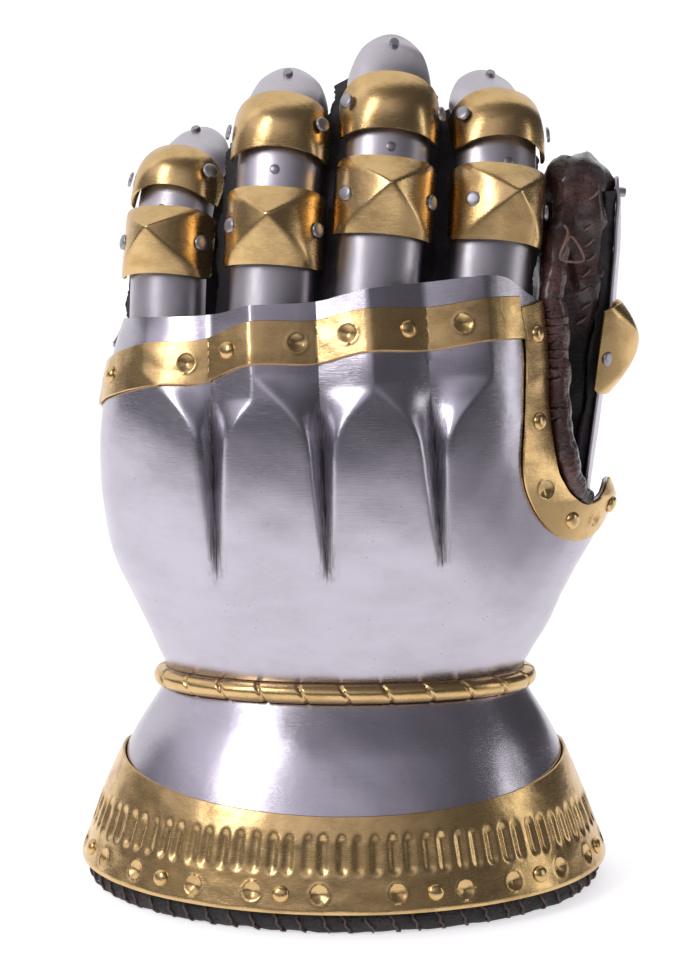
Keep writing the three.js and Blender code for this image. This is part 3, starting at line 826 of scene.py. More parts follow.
@dataclass(frozen=True)
class Suede:
    """Napped dark leather strap, worn lighter in places."""

    name: str = "dark_suede"
    dark: tuple[float, float, float] = (0.022, 0.019, 0.021)
    light: tuple[float, float, float] = (0.075, 0.066, 0.072)

    def material(self) -> bpy.types.Material:
        """Builds the material.

        Returns:
            The material.
        """
        s = Shader(self.name)
        nap = s.noise(0.35, (1, 1, 1.6), 4, 0.7)
        wear = s.noise(6, (1, 1, 2), 4, 0.6)
        shade = s.mix(wear.between(0.4, 0.72) * nap.between(0.3, 0.7), self.dark, self.light)
        normal = s.bump(nap, 0.22)
        return s.finish(Base_Color=shade, Roughness=0.86 + (wear - 0.5) * 0.2, Normal=normal)


@dataclass(frozen=True)
class Thread:
    """Waxed brown sewing thread, fuzzy and lighter in places."""

    name: str = "brown_thread"
    dark: tuple[float, float, float] = (0.13, 0.065, 0.048)
    light: tuple[float, float, float] = (0.33, 0.20, 0.16)

    def material(self) -> bpy.types.Material:
        """Builds the material.

        Returns:
            The material.
        """
        s = Shader(self.name)
        fuzz = s.noise(0.3, (1, 1, 1), 4, 0.7)
        shade = s.mix(fuzz.between(0.35, 0.65), self.dark, self.light)
        return s.finish(Base_Color=shade, Roughness=0.6 + (fuzz - 0.5) * 0.3, Normal=s.bump(fuzz, 0.1))


class Finish(Enum):
    """The finishes of the gauntlet's pieces, with the record's slot of each."""

    STEEL = (Steel(), "steel")
    SATIN_STEEL = (Steel("satin_steel", (0.61, 0.575, 0.62), (0.40, 0.38, 0.40), 0.36, 0.014), "steel")
    RIVET_STEEL = (Steel("grey_steel", (0.42, 0.40, 0.43), (0.30, 0.29, 0.30), 0.40, 0.006), "steel")
    BRASS = (Brass(), "brass")
    GLOVE = (Leather("glove_leather", (0.026, 0.0075, 0.006), (0.14, 0.042, 0.030), 0.34, 0.75, 0.85),
             "glove_leather")
    LINING = (Leather("lining_leather", (0.014, 0.012, 0.013), (0.045, 0.037, 0.036), 0.62, 1.1, 0.0),
              "lining_leather")
    SUEDE = (Suede(), "suede")
    THREAD = (Thread(), "glove_leather")
    HEM_THREAD = (Thread("dark_thread", (0.045, 0.028, 0.026), (0.15, 0.095, 0.085)), "lining_leather")


@dataclass
class Workshop:
    """Makes pieces with their finish, each finish built once."""

    materials: dict[Finish, bpy.types.Material] = field(default_factory=dict)

    def finish(self, kind: Finish) -> bpy.types.Material:
        """The material of a finish.

        Args:
            kind: The finish.

        Returns:
            Its material.
        """
        if kind not in self.materials:
            self.materials[kind] = kind.value[0].material()
        return self.materials[kind]

    def piece(self, name: str, mesh: tuple[Array, Sequence[Sequence[int]]], kind: Finish,
              stands_for: Sequence[str] = (), masks: dict[str, Array] | None = None,
              sharp: float = 50.0) -> bpy.types.Object:
        """Makes one piece.

        Args:
            name: Its name.
            mesh: Its points and faces.
            kind: Its finish.
            stands_for: The plain solids that it takes the place of.
            masks: Named values at its points.
            sharp: Edges that turn by more degrees than this are sharp.

        Returns:
            The object.
        """
        return make_piece(name, *mesh, self.finish(kind), kind.value[1], stands_for, masks, sharp)


# -------------------------------------------------------------------------------- plate and bands
@dataclass
class HourglassPlate:
    """The steel plate: flared cuff, narrow waist, and hand with knuckles, thumb opening and open palm."""

    shop: Workshop
    left_foot: float = -118.0  # angle and height at which the open palm's left edge leaves the closed cuff
    left_foot_z: float = 98.0
    lower_rows: int = 72
    upper_rows: int = 58
    back_columns: int = 60
    spans: tuple[int, ...] = (34, 12, 8, 8, 8, 10, 8, 8, 8, 10, 8, 8, 12, 20)

    def front_angles(self, span: Array, share: Array, z: Array) -> Array:
        """Angles of the front's columns, which follow the furrows and the edges beside them.

        Args:
            span: Which pair of guide lines each column lies between.
            share: How far it lies between them.
            z: Its level.

        Returns:
            The angle of each.
        """
        level = np.maximum(z, BODY.waist_z)
        guides = [np.interp(z, self.palm[:, 1], self.palm[:, 0], left=self.left_foot)]
        shrink = np.minimum(1, curve(BODY.sections, level, 2) / 58)
        for f in BODY.furrows:
            rise = (np.maximum(level, f.foot_z) - f.foot_z) / (BODY.furrow_top_z - f.foot_z)
            middle = f.foot + (f.top - f.foot) * rise
            reach = table(BODY.furrow_reach, level)
            left, right = np.minimum(reach, f.left * 0.6), np.minimum(reach, f.right * 0.6)
            guides += [BODY.angle_at(x * shrink, level)
                       for x in (middle - f.left, middle - left, middle, middle + right)]
        guides[-1:] = [guides[-1], BODY.angle_at((middle + f.right) * shrink, level)]
        order = np.argsort(self.thumb[:, 1])
        guides.append(np.interp(z, self.thumb[order, 1], self.thumb[order, 0]))
        stack = np.array([g + 0 * z for g in guides])
        pick = np.arange(len(z))
        low, high = stack[span, pick], stack[np.minimum(span + 1, len(guides) - 1), pick]
        return low + (high - low) * share

    def build(self) -> None:
        """Makes the plate."""
        self.palm = edge_line(PALM_EDGE_LEFT)
        self.palm = self.palm[self.palm[:, 0] >= self.left_foot]
        thumb_and_palm = edge_line((*THUMB_EDGE, *PALM_EDGE_RIGHT))
        foot = int(np.argmin(np.abs(thumb_and_palm[:, 0] - 66.5) + (thumb_and_palm[:, 1] > 108) * 99))
        self.thumb = thumb_and_palm[:foot + 1][::-1]
        self.thumb = self.thumb[np.argsort(self.thumb[:, 1])]
        behind = thumb_and_palm[foot:]
        top = edge_line([PALM_EDGE_LEFT[-1], *on_front(PLATE_TOP), THUMB_EDGE[0]])
        span = np.repeat(np.arange(len(self.spans)), self.spans)
        share = np.concatenate([np.arange(n) / n for n in self.spans])
        span, share = np.append(span, len(self.spans) - 1), np.append(share, 1.0)
        count = len(span)
        order = np.arange(count) / (count - 1)
        right_foot, right_foot_z = self.thumb[0]
        low = self.left_foot_z + (right_foot_z - self.left_foot_z) * order
        high = np.full(count, 158.0)
        for _ in range(6):
            high = np.interp(self.front_angles(span, share, high), top[:, 0], top[:, 1])
        rest = 360 + self.left_foot - right_foot
        back = right_foot + rest * np.arange(1, self.back_columns) / self.back_columns
        left_run = edge_line(PALM_EDGE_LEFT)
        back_z = np.where(back < 180, np.interp(back, behind[:, 0], behind[:, 1]),
                          np.interp(back - 360, left_run[:, 0], left_run[:, 1]))
        angles, levels = [], []
        for k in range(self.lower_rows + 1):
            rise = k / self.lower_rows
            z = BODY.rim_z + (low - BODY.rim_z) * rise
            angles.append(np.concatenate([self.front_angles(span, share, z), back]))
            levels.append(np.concatenate([z, BODY.rim_z + (back_z - BODY.rim_z) * rise]))
        for k in range(1, self.upper_rows + 1):
            z = low + (high - low) * k / self.upper_rows
            angles.append(self.front_angles(span, share, z))
            levels.append(z)
        angle, level = np.concatenate(angles), np.concatenate(levels)
        around = count + len(back)
        ring = grid_faces(self.lower_rows + 1, around, True)
        first = self.lower_rows * around
        rows = np.vstack([first + np.arange(count)]
                         + [first + around + k * count + np.arange(count) for k in range(self.upper_rows)])
        flat = rows.ravel()
        quads = np.vstack([ring, flat[grid_faces(self.upper_rows + 1, count)]])
        points = BODY.point(angle, level)
        points = points + BODY.normal(angle, level) * (0.09 * ripple(points, 16, 1))[:, None]
        near = BODY.furrow(points[:, 0], level)[1] * (np.cos(np.radians(angle)) > 0.2)
        mesh = shell(points, quads, STEEL_WALL, 0.0, LIP)
        near = np.resize(near, len(mesh[0]))
        self.shop.piece("steel_hourglass", mesh, Finish.STEEL, ["hourglass_plate"], {"groove": near}, 35)


def rivet_dome(radius: float, height: float) -> Rows:
    """Profile of a domed rivet head."""
    turn = np.linspace(0, math.pi / 2, 8)
    return [(radius * math.cos(t) ** 0.8, height * math.sin(t)) for t in turn[:-1]] + [(0, height)]


@dataclass
class Bands:
    """Brass bands over the knuckles, round the thumb opening and the cuff, and the rope at the waist."""

    shop: Workshop
    width: float = 10.9
    thumb_width: float = 9.8
    knuckle_end: float = -99.0
    knuckle_rivets: tuple[float, ...] = (-61.3, -30.9, 16.2)
    knuckle_dimples: tuple[float, ...] = (-41.3, -13.0, 1.0, 31.2)
    thumb_rivets: tuple[float, ...] = (0.09, 0.355, 0.715, 0.93)
    thumb_dimples: tuple[float, ...] = (0.56, 0.83)
    cuff_top: float = 37.0
    cuff_dip: float = 8.5
    triples: Rows = ((-84, -75, -65.5), (-51.5, -43, -34), (-20, -13.6, -5.4), (11.2, 19.5, 26.5),
                     (39, 47, 54.5), (68, 76, 86), (98, 106, 114), (128, 136, 144), (157, 165, 173),
                     (187, 195, 203), (217, 224, 232), (246, 254, 262))
    row_z: float = 10.9  # level of the rivets round the cuff
    pitch: float = 4.75
    stroke_z: tuple[float, float] = (15.1, 25.0)
    rope_radius: float = 2.7
    rope_pitch: float = 11.4  # distance between the rope's cuts

    def relief(self, angle: Array, z: Array, dimples: Sequence[Array], extra: Array | float = 0.0) -> Array:
        """Places on a band's face with its dimples.

        Args:
            angle: Angles on the body.
            z: Levels.
            dimples: Middles of the dimples.
            extra: More offset outward.

        Returns:
            The places.
        """
        base = BODY.off(angle, z, GAP + BRASS_WALL)
        lift = np.zeros(len(base)) + extra
        for centre in dimples:
            lift += Lift.dimple(base, centre)
        lift += 0.07 * ripple(base, 9, 2)
        return base + BODY.normal(angle, z) * lift[:, None]

    def rivet(self, heap: Heap, angle: float, z: float, radius: float = 2.45) -> None:
        """Adds a domed brass head that stands on a band."""
        foot = BODY.off(np.array([angle]), np.array([z]), GAP + BRASS_WALL)[0]
        heap.add(*lathe(rivet_dome(radius, 1.35), foot, BODY.normal(angle, z), 24))

    def build(self) -> None:
        """Makes the bands, the rope and their rivets."""
        rivets = Heap()
        inner = edge_line(THUMB_EDGE)
        self.thumb_band(inner, rivets)
        self.knuckle_band(self.offset(inner, self.thumb_width + GAP), rivets)
        self.cuff_band(rivets)
        self.rope()
        self.shop.piece("brass_rivets", rivets.mesh(), Finish.BRASS)

    def offset(self, line: Array, width: float) -> Array:
        """A line beside another on the body, on the side away from the thumb opening.

        Args:
            line: Rows of (angle, height).
            width: How far apart they are.

        Returns:
            Rows of (angle, height).
        """
        scale = math.radians(BODY.girth)
        flat = np.stack([line[:, 0] * scale, line[:, 1]], axis=1)
        along = unit(np.gradient(flat, axis=0))
        out = flat + np.stack([along[:, 1], -along[:, 0]], axis=1) * width
        return np.stack([out[:, 0] / scale, out[:, 1]], axis=1)

    def thumb_band(self, inner: Array, rivets: Heap) -> None:
        """Makes the J-shaped band round the thumb opening.

        Args:
            inner: Edge of the opening, rows of (angle, height).
            rivets: Where its rivets are gathered.
        """
        rows = 23
        outer = self.offset(inner, self.thumb_width)
        keep = np.linspace(0, len(inner) - 1, 190)
        order = np.arange(len(inner))
        pick = [np.interp(keep, order, line[:, k]) for line in (inner, outer) for k in (0, 1)]
        share = np.linspace(0, 1, rows)[None, :]
        angle = (pick[0][:, None] * (1 - share) + pick[2][:, None] * share).ravel()
        z = (pick[1][:, None] * (1 - share) + pick[3][:, None] * share).ravel()
        middle = BODY.off((pick[0] + pick[2]) / 2, (pick[1] + pick[3]) / 2, GAP + BRASS_WALL)
        walk = np.append(0, np.cumsum(np.linalg.norm(np.diff(middle, axis=0), axis=1)))
        walk /= walk[-1]
        spots = [int(np.argmin(np.abs(walk - s))) for s in self.thumb_dimples]
        points = self.relief(angle, z, middle[spots])
        mesh = shell(points, grid_faces(len(keep), rows), BRASS_WALL, 0, LIP)
        self.shop.piece("brass_thumb_band", mesh, Finish.BRASS, ["thumb_band"], sharp=40)
        for s in self.thumb_rivets:
            i = int(np.argmin(np.abs(walk - s)))
            self.rivet(rivets, (pick[0][i] + pick[2][i]) / 2, (pick[1][i] + pick[3][i]) / 2)

    def knuckle_band(self, limit: Array, rivets: Heap) -> None:
        """Makes the band across the knuckles, which stops at the thumb band.

        Args:
            limit: Line at which it ends, rows of (angle, height).
            rivets: Where its rivets are gathered.
        """
        columns, rows = 330, 24
        foot = edge_line([(self.knuckle_end, 129.6), *on_front(BAND_FOOT)])
        head = edge_line([(self.knuckle_end, 129.6 + self.width), *on_front(BAND_FOOT, self.width)])
        order = np.argsort(limit[:, 1])
        share = np.tile(np.linspace(0, 1, columns), rows)
        up = np.repeat(np.linspace(0, 1, rows), columns)
        angle, z = np.zeros(rows * columns), np.full(rows * columns, 148.0)
        for _ in range(5):
            end = np.interp(z, limit[order, 1], limit[order, 0])
            angle = self.knuckle_end + (end - self.knuckle_end) * share
            low, high = np.interp(angle, *foot.T), np.interp(angle, *head.T)
            z = low + (high - low) * up

        def level(a: float) -> float:
            """Height of the band's middle at an angle."""
            return float(np.interp(a, *foot.T) + np.interp(a, *head.T)) / 2

        spots = [(a, level(a)) for a in (float(BODY.angle_at(x, 147.0)) for x in self.knuckle_dimples)]
        centres = [BODY.off(np.array([a]), np.array([h]), GAP + BRASS_WALL)[0] for a, h in spots]
        points = self.relief(angle, z, centres)
        mesh = shell(points, grid_faces(rows, columns), BRASS_WALL, 0, LIP)
        self.shop.piece("brass_knuckle_band", mesh, Finish.BRASS, ["knuckle_band"], sharp=40)
        for x in self.knuckle_rivets:
            angle_there = float(BODY.angle_at(x, 144.0))
            self.rivet(rivets, angle_there, level(angle_there))

    def cuff_band(self, rivets: Heap) -> None:
        """Makes the fluted band round the foot of the cuff.

        Args:
            rivets: Where its rivets are gathered.
        """
        columns = 1080
        angle = np.linspace(-180, 180, columns, endpoint=False)
        top = self.cuff_top - self.cuff_dip * np.maximum(0, np.cos(np.radians(angle)))
        levels = np.concatenate([np.linspace(0, 9.6, 20), np.linspace(10.3, 19.5, 14), [21]]) / 21
        z = BODY.rim_z + levels[:, None] * np.minimum(top - BODY.rim_z, 21)[None, :]
        rest = np.linspace(0, 1, 6)[1:, None]
        z = np.vstack([z, z[-1] + rest * (top - z[-1])])
        rows = len(z)
        ring = BODY.point(angle, np.full(columns, 12.0))
        step = np.linalg.norm(np.roll(ring, -1, axis=0) - ring, axis=1)
        walk = np.cumsum(step)
        count = round(walk[-1] / self.pitch)
        phase = walk / walk[-1] * count
        drift = 0.06 * np.sin(np.round(phase) * 2.7)
        across = (phase - np.round(phase) + drift) * self.pitch
        middle, half = sum(self.stroke_z) / 2, (self.stroke_z[1] - self.stroke_z[0]) / 2
        depth = 0.74 * (0.85 + 0.15 * np.sin(np.round(phase) * 1.9))
        flutes = Lift.stroke(across[None, :] + 0 * z, z - middle, 2.0, half, depth[None, :])
        lift = flutes - 0.25 * smooth(0.6, 0, z - BODY.rim_z)
        spots = [(a, self.row_z + 0.25 * math.sin(3 * a)) for row in self.triples for a in (row[0], row[2])]
        centres = [BODY.off(np.array([a]), np.array([h]), GAP + BRASS_WALL)[0] for a, h in spots]
        points = self.relief(np.tile(angle, rows), z.ravel(), centres, lift.ravel())
        mesh = shell(points, grid_faces(rows, columns, True), BRASS_WALL, 0, LIP)
        self.shop.piece("brass_cuff_band", mesh, Finish.BRASS, ["cuff_band"], sharp=40)
        for row in self.triples:
            self.rivet(rivets, row[1], self.row_z, 2.3)

    def rope(self) -> None:
        """Makes the brass rope round the waist, cut with slanting strands."""
        columns, sides = 1240, 15
        angle = np.linspace(-180, 180, columns, endpoint=False)
        z = np.full(columns, BODY.waist_z)
        centre, out = BODY.off(angle, z, 1.2), BODY.normal(angle, z)
        up = unit(BODY.point(angle, z + 1) - BODY.point(angle, z - 1))
        walk = np.cumsum(np.linalg.norm(np.roll(centre, -1, axis=0) - centre, axis=1))
        count = round(walk[-1] / self.rope_pitch)
        turn = np.linspace(-90, 90, sides)[:, None]
        rise = np.sin(np.radians(turn))
        phase = walk[None, :] / walk[-1] * count + 0.13 * rise
        apart = np.abs(phase - np.round(phase)) * self.rope_pitch
        radius = self.rope_radius * (1 - 0.24 * np.exp(-(apart / 0.42) ** 2))
        depth = (radius * np.cos(np.radians(turn)))[..., None] * out[None]
        face = centre[None] + depth + (radius * rise)[..., None] * up[None]
        seat = np.array([centre + up * self.rope_radius * s for s in (0.9, 0.3, -0.3, -0.9)])
        points = np.vstack([face, seat]).reshape(-1, 3)
        rows = sides + 4
        quads = grid_faces(rows + 1, columns, True)
        quads = np.where(quads >= rows * columns, quads - rows * columns, quads)
        mesh = (points, [tuple(q) for q in quads.tolist()])
        self.shop.piece("brass_rope", mesh, Finish.BRASS, ["waist_rope"], sharp=60)


# -------------------------------------------------------------------------------- fingers
@dataclass(frozen=True)
class Finger:
    """One finger's axis line, as it bends over its two joints, and the sizes of its plates."""

    name: str
    root: tuple[float, float, float]
    yaw: float
    tilt: float
    knuckle: float
    joint: float
    tip: float
    pitch: tuple[float, float, float]
    width: float
    boss: float
    dome: float
    boss_rivets: tuple[float, float] = (-50, 58)
    dome_rivets: tuple[float, float] = (-53, 62)
    bend_spread: float = 7.0

    def place(self, s: float) -> tuple[Array, Array, Array, Array]:
        """Place on the axis line.

        Args:
            s: Distance along the line from the root.

        Returns:
            The place, and its sideways, dorsal and forward directions.
        """
        tilt, yaw = math.radians(self.tilt), math.radians(self.yaw)
        about_y = np.array([[math.cos(tilt), 0, math.sin(tilt)], [0, 1, 0],
                            [-math.sin(tilt), 0, math.cos(tilt)]])
        about_z = np.array([[math.cos(yaw), -math.sin(yaw), 0], [math.sin(yaw), math.cos(yaw), 0],
                            [0, 0, 1]])
        turn = about_y @ about_z
        side, dorsal, along = turn[:, 0], -turn[:, 1], turn[:, 2]
        steps = max(1, math.ceil(abs(s)))
        pitch = self.bend((np.arange(steps) + 0.5) / steps * s)
        reach = s / steps
        middle = (np.array(self.root) + along * np.cos(pitch).sum() * reach
                  - dorsal * np.sin(pitch).sum() * reach)
        end = float(self.bend(s))
        return (middle, side, dorsal * math.cos(end) + along * math.sin(end),
                along * math.cos(end) - dorsal * math.sin(end))

    def bend(self, s: Array | float) -> Array:
        """Backward pitch of the finger.

        Args:
            s: Distance along the line from the root.

        Returns:
            The pitch in radians.
        """
        first = smooth(self.knuckle - self.bend_spread, self.knuckle + self.bend_spread, s)
        second = smooth(self.joint - self.bend_spread, self.joint + self.bend_spread, s)
        root, middle, tip = self.pitch
        return np.radians(root + (middle - root) * first + (tip - middle) * second)

    def set_at(self, s: float, local: Array) -> Array:
        """Points of (sideways, dorsal, forward) about the place at s, in the gauntlet's frame."""
        middle, side, dorsal, along = self.place(s)
        return middle + local @ np.stack([side, dorsal, along])

    def tube(self, stations: Sequence[float], sections: Sequence[Array]) -> Array:
        """Points of sections set along the axis line.

        Args:
            stations: Distance of each section along the line.
            sections: Rows of (sideways, dorsal) for each.

        Returns:
            The points.
        """
        rows = []
        for s, section in zip(stations, sections):
            middle, side, dorsal, _ = self.place(float(s))
            rows.append(middle + section[:, :1] * side + section[:, 1:2] * dorsal)
        return np.vstack(rows)


FINGERS = (
    Finger("little", (-48.3, -4, 140), -22, -2.7, 35.4, 52.2, 73.7, (12, 28.9, 63.9), 0.96, 18.6, 14,
           dome_rivets=(-64, 50)),
    Finger("ring", (-20.7, -18, 142), -7, 1.6, 39.2, 64.7, 85.8, (12, 20.6, 52.1), 1, 21, 17,
           dome_rivets=(-72, 48)),
    Finger("middle", (6.5, -20, 145), 5, 6, 44.4, 67.8, 91.3, (12, 23.2, 42.8), 1, 21, 17),
    Finger("index", (36.1, -12.5, 145), 18, 9.4, 41.9, 62.6, 83.8, (12, 26, 61.8), 1, 21, 16,
           boss_rivets=(-42, 66), dome_rivets=(-52, 68)))
THUMB = Finger("thumb", (56.8, 9, 96), 90, 0, 53, 66, 99, (-7, -6.5, -4), 1, 25, 17)


SEAT = 0.1  # how far a rivet's foot stands off its plate
FLAT_RIVET = ((2.1, 0), (2.1, 0.42), (1.96, 0.66), (1.6, 0.82), (1.0, 0.9), (0, 0.93))  # radius, height


@dataclass
class FingerArmour:
    """Overlapping steel lames and raised brass plates on a suede strap, for one finger."""

    shop: Workshop
    finger: Finger
    lame_half: float = 11.5
    lame_high: float = 9.8
    plate_half: float = 13.6
    plate_high: float = 11.6
    boss_rise: float = 6.0
    boss_point: float = 2.0  # how far above the middle of the knuckle plate its point is
    boss_bow: float = 1.0  # 1 for flat sides up to the point, more for bowed ones
    dome_rise: float = 3.1
    tuck: float = 7.0
    lame_wall: float = 1.0
    lame_corner: float = 1.1  # radius of a lame's corners
    lame_step: float = 0.7  # distance between rows of points
    plate_step: float = 0.45
    root_start: float = 6.0  # distance of the first lame's lower edge along the finger
    strap_start: float = 5.0
    strap_short: float = 9.0  # how far the strap stops short of the tip
    pin_inset: float = 4.2  # how far the pin near the tip lies below it
    pin_radius: float = 1.35
    pin_height: float = 2.1
    pin_seat: float = 0.80  # height of its foot as a share of the lame's
    corner_foot: float = 1.4  # how far the knuckle plate's corners stop short of its edges
    corner_head: float = 2.2
    dome_foot: float = 0.9  # the same for the joint plate
    dome_head: float = 5.2
    boss_seat: float = 1.2  # how far the flank rivets stand off the plain arch
    strap_half: Rows = ((-16.3, -6.2), (-12.6, -2.4), (-9.9, 0.8), (-7.8, 4.4), (-4.6, 6.9), (0, 7.6))
    lame_spread: float = 86.0
    plate_spread: float = 84.0

    def arch(self, s: float, spread: float, foot: Callable[[Array], Array], head: Callable[[Array], Array],
             shape: Callable[[Array, Array], tuple[Array, Array]], wall: float,
             step: float = 0.55) -> Mesh:
        """A plate bent to an arch over the finger.

        Args:
            s: Distance of its middle along the finger.
            spread: Angle that the arch spans each way.
            foot: Its lower edge at each angle.
            head: Its upper edge at each angle.
            shape: Sideways and dorsal place at (angle, height along).
            wall: Thickness.
            step: Fineness.

        Returns:
            Points and faces of the plate.
        """
        long = float(head(np.array([0.0]))[0] - foot(np.array([0.0]))[0])
        columns, rows = int(2 * spread / 180 * 36 / step), max(6, int(long / step))
        angle = np.tile(np.linspace(-spread, spread, columns), rows)
        share = np.repeat(np.linspace(0, 1, rows), columns)
        along = foot(angle) + (head(angle) - foot(angle)) * share
        u, n = shape(angle, along)
        local = np.stack([u, n, along], axis=1)
        local[:, :2] *= (1 + 0.006 * ripple(local + 40 * s, 12, 3))[:, None]
        return shell(self.finger.set_at(s, local), grid_faces(rows, columns), wall, 0, LIP)

    def lame_shape(self, angle: Array, along: Array) -> tuple[Array, Array]:
        """Section of a plain lame."""
        turn = np.radians(angle)
        return self.finger.width * self.lame_half * np.sin(turn), self.lame_high * np.cos(turn)

    def corner(self, angle: Array) -> Array:
        """How far a lame's rounded corners stop short of its ends."""
        return self.lame_corner * (np.abs(angle) / self.lame_spread) ** 10

    def lame(self, name: str, start: float, end: float) -> None:
        """Makes a plain steel lame between two places on the finger.

        Args:
            name: Its name without the finger.
            start: Distance of its lower edge along the finger.
            end: Distance of its upper edge.
        """
        half = (end - start) / 2
        mesh = self.arch((start + end) / 2, self.lame_spread, lambda a: self.corner(a) - half,
                         lambda a: half - self.corner(a), self.lame_shape, self.lame_wall, self.lame_step)
        self.steel(f"{self.finger.name}_steel_{name}", mesh, f"{self.finger.name}_{name}")

    def steel(self, name: str, mesh: tuple[Array, Sequence[Sequence[int]]], stands_for: str) -> None:
        """Makes a steel plate."""
        self.shop.piece(name, mesh, Finish.SATIN_STEEL, [stands_for], {"groove": np.zeros(len(mesh[0]))}, 40)

    def boss_shape(self, angle: Array, along: Array) -> tuple[Array, Array]:
        """Section of the knuckle plate, raised to a four-sided point whose ridges run to its corners.

        Args:
            angle: Angles across the arch.
            along: Distances along it from its middle.

        Returns:
            Sideways and dorsal places.
        """
        sharpness = 12
        turn = np.radians(angle)
        across = np.abs(np.sin(turn)) / math.sin(math.radians(self.plate_spread))
        below = np.sign(self.boss_point - along)
        upward = np.abs(along - self.boss_point) / (self.finger.boss / 2 + below * self.boss_point)
        reach = (across ** sharpness + upward ** sharpness) ** (1 / sharpness)
        rise = self.boss_rise * (1 - np.clip(reach, 0, 1) ** self.boss_bow)
        return self.finger.width * self.plate_half * np.sin(turn), self.plate_high * np.cos(turn) + rise

    def dome_shape(self, angle: Array, along: Array) -> tuple[Array, Array]:
        """Section of the joint plate, domed along the finger.

        Args:
            angle: Angles across the arch.
            along: Distances along it from its middle.

        Returns:
            Sideways and dorsal places.
        """
        belly = np.cos(along / self.finger.dome * math.pi * 0.9)
        turn = np.radians(angle)
        return ((0.97 + 0.03 * belly) * self.finger.width * self.plate_half * np.sin(turn),
                (self.plate_high + self.dome_rise * belly) * np.cos(turn))

    def tip(self, start: float, end: float) -> None:
        """Makes the steel plate over the last bone, with a round end.

        Args:
            start: Distance of its lower edge along the finger.
            end: Distance of its tip.
        """
        long = end - start

        def shape(angle: Array, along: Array) -> tuple[Array, Array]:
            """Section that closes towards the tip.

            Args:
                angle: Angles across the arch.
                along: Distances along it from its middle.

            Returns:
                Sideways and dorsal places.
            """
            close = 1 - 0.12 * smooth(-0.1, 0.5, along / long) - 0.10 * smooth(0.3, 0.52, along / long)
            turn = np.radians(angle)
            across = close * self.finger.width * self.lame_half * np.sin(turn)
            return across, close * self.lame_high * np.cos(turn)

        def head(angle: Array) -> Array:
            """Its round upper edge."""
            return -long / 2 + long * np.sqrt(np.maximum(0.06, 1 - (angle / (self.lame_spread + 6)) ** 2))

        mesh = self.arch((start + end) / 2, self.lame_spread - 2, lambda a: -long / 2 + 0 * a, head, shape,
                         self.lame_wall)
        self.steel(f"{self.finger.name}_steel_tip_plate", mesh, f"{self.finger.name}_tip_plate")

    def flank_rivets(self, heap: Heap, s: float, angles: Sequence[float], dome: float) -> None:
        """Adds the steel heads on the flanks of a brass plate.

        Args:
            heap: Where they are gathered.
            s: Distance of the plate along the finger.
            angles: Angle of each head.
            dome: How far the plate is raised.
        """
        for angle in np.radians(angles):
            wide, high = self.finger.width * self.plate_half, self.plate_high
            lift = dome * math.cos(angle) + SEAT
            out = unit(np.array([math.sin(angle) / wide, math.cos(angle) / high, 0.0]))
            foot = np.array([wide * math.sin(angle), high * math.cos(angle), 0.0]) + out * lift
            middle, side, dorsal, along = self.finger.place(s)
            turn = np.stack([side, dorsal, along])
            heap.add(*lathe(FLAT_RIVET, middle + foot @ turn, out @ turn, 18))

    def pin(self, heap: Heap, s: float, radius: float, height: float, lift: float) -> None:
        """Adds a turned pin head on the middle of the back of the finger.

        Args:
            heap: Where it is gathered.
            s: Its distance along the finger.
            radius: Its radius.
            height: Its height.
            lift: How far it stands off the axis line.
        """
        middle, _, dorsal, _ = self.finger.place(s)
        profile = [(radius, 0), (radius, height * 0.75), (radius * 0.82, height), (0, height * 1.02)]
        heap.add(*lathe(profile, middle + dorsal * lift, dorsal, 18))

    def tip_pin(self, heap: Heap) -> None:
        """Adds the pin near the finger's tip."""
        self.pin(heap, self.finger.tip - self.pin_inset, self.pin_radius, self.pin_height,
                 self.lame_high * self.pin_seat)

    def boss(self) -> None:
        """Makes the raised brass knuckle plate."""
        f = self.finger
        half = f.boss / 2
        mesh = self.arch(f.knuckle, self.plate_spread,
                         lambda a: -half + self.corner_foot * (np.abs(a) / self.plate_spread) ** 9,
                         lambda a: half - self.corner_head * (a / self.plate_spread) ** 4,
                         self.boss_shape, BRASS_WALL, self.plate_step)
        self.shop.piece(f"{f.name}_brass_knuckle", mesh, Finish.BRASS, [f"{f.name}_knuckle_plate"], sharp=34)

    def build(self) -> None:
        """Makes the finger's plates, rivets and strap."""
        f = self.finger
        root_end = f.knuckle - f.boss / 2 + self.tuck / 2
        middle_start, middle_end = f.knuckle + f.boss / 2 - self.tuck, f.joint - f.dome / 2 + self.tuck - 1
        self.lame("root_lame", self.root_start, root_end)
        self.boss()
        self.lame("middle_lame", middle_start, middle_end)
        half = f.dome / 2
        mesh = self.arch(f.joint, self.plate_spread,
                         lambda a: -half + self.dome_foot * (np.abs(a) / self.plate_spread) ** 8,
                         lambda a: half - self.dome_head * (np.abs(a) / self.plate_spread) ** 2.6,
                         self.dome_shape, BRASS_WALL, self.plate_step)
        self.shop.piece(f"{f.name}_brass_joint", mesh, Finish.BRASS, [f"{f.name}_joint_plate"], sharp=40)
        self.tip(f.joint + 1, f.tip)
        heap = Heap()
        self.flank_rivets(heap, f.knuckle, f.boss_rivets, self.boss_seat)
        self.flank_rivets(heap, f.joint, f.dome_rivets, self.dome_rise)
        self.tip_pin(heap)
        self.pin(heap, f.joint - half - 2.2, 1.3, 0.7, self.lame_high - 0.15)
        nodes = [f"{f.name}_{plate}_rivet_{side}" for plate in ("knuckle", "joint")
                 for side in ("left", "right")]
        mesh = heap.mesh()
        plain = {"groove": np.zeros(len(mesh[0]))}
        self.shop.piece(f"{f.name}_steel_rivets", mesh, Finish.RIVET_STEEL, nodes, plain)
        self.strap(self.strap_start, f.tip - self.strap_short)

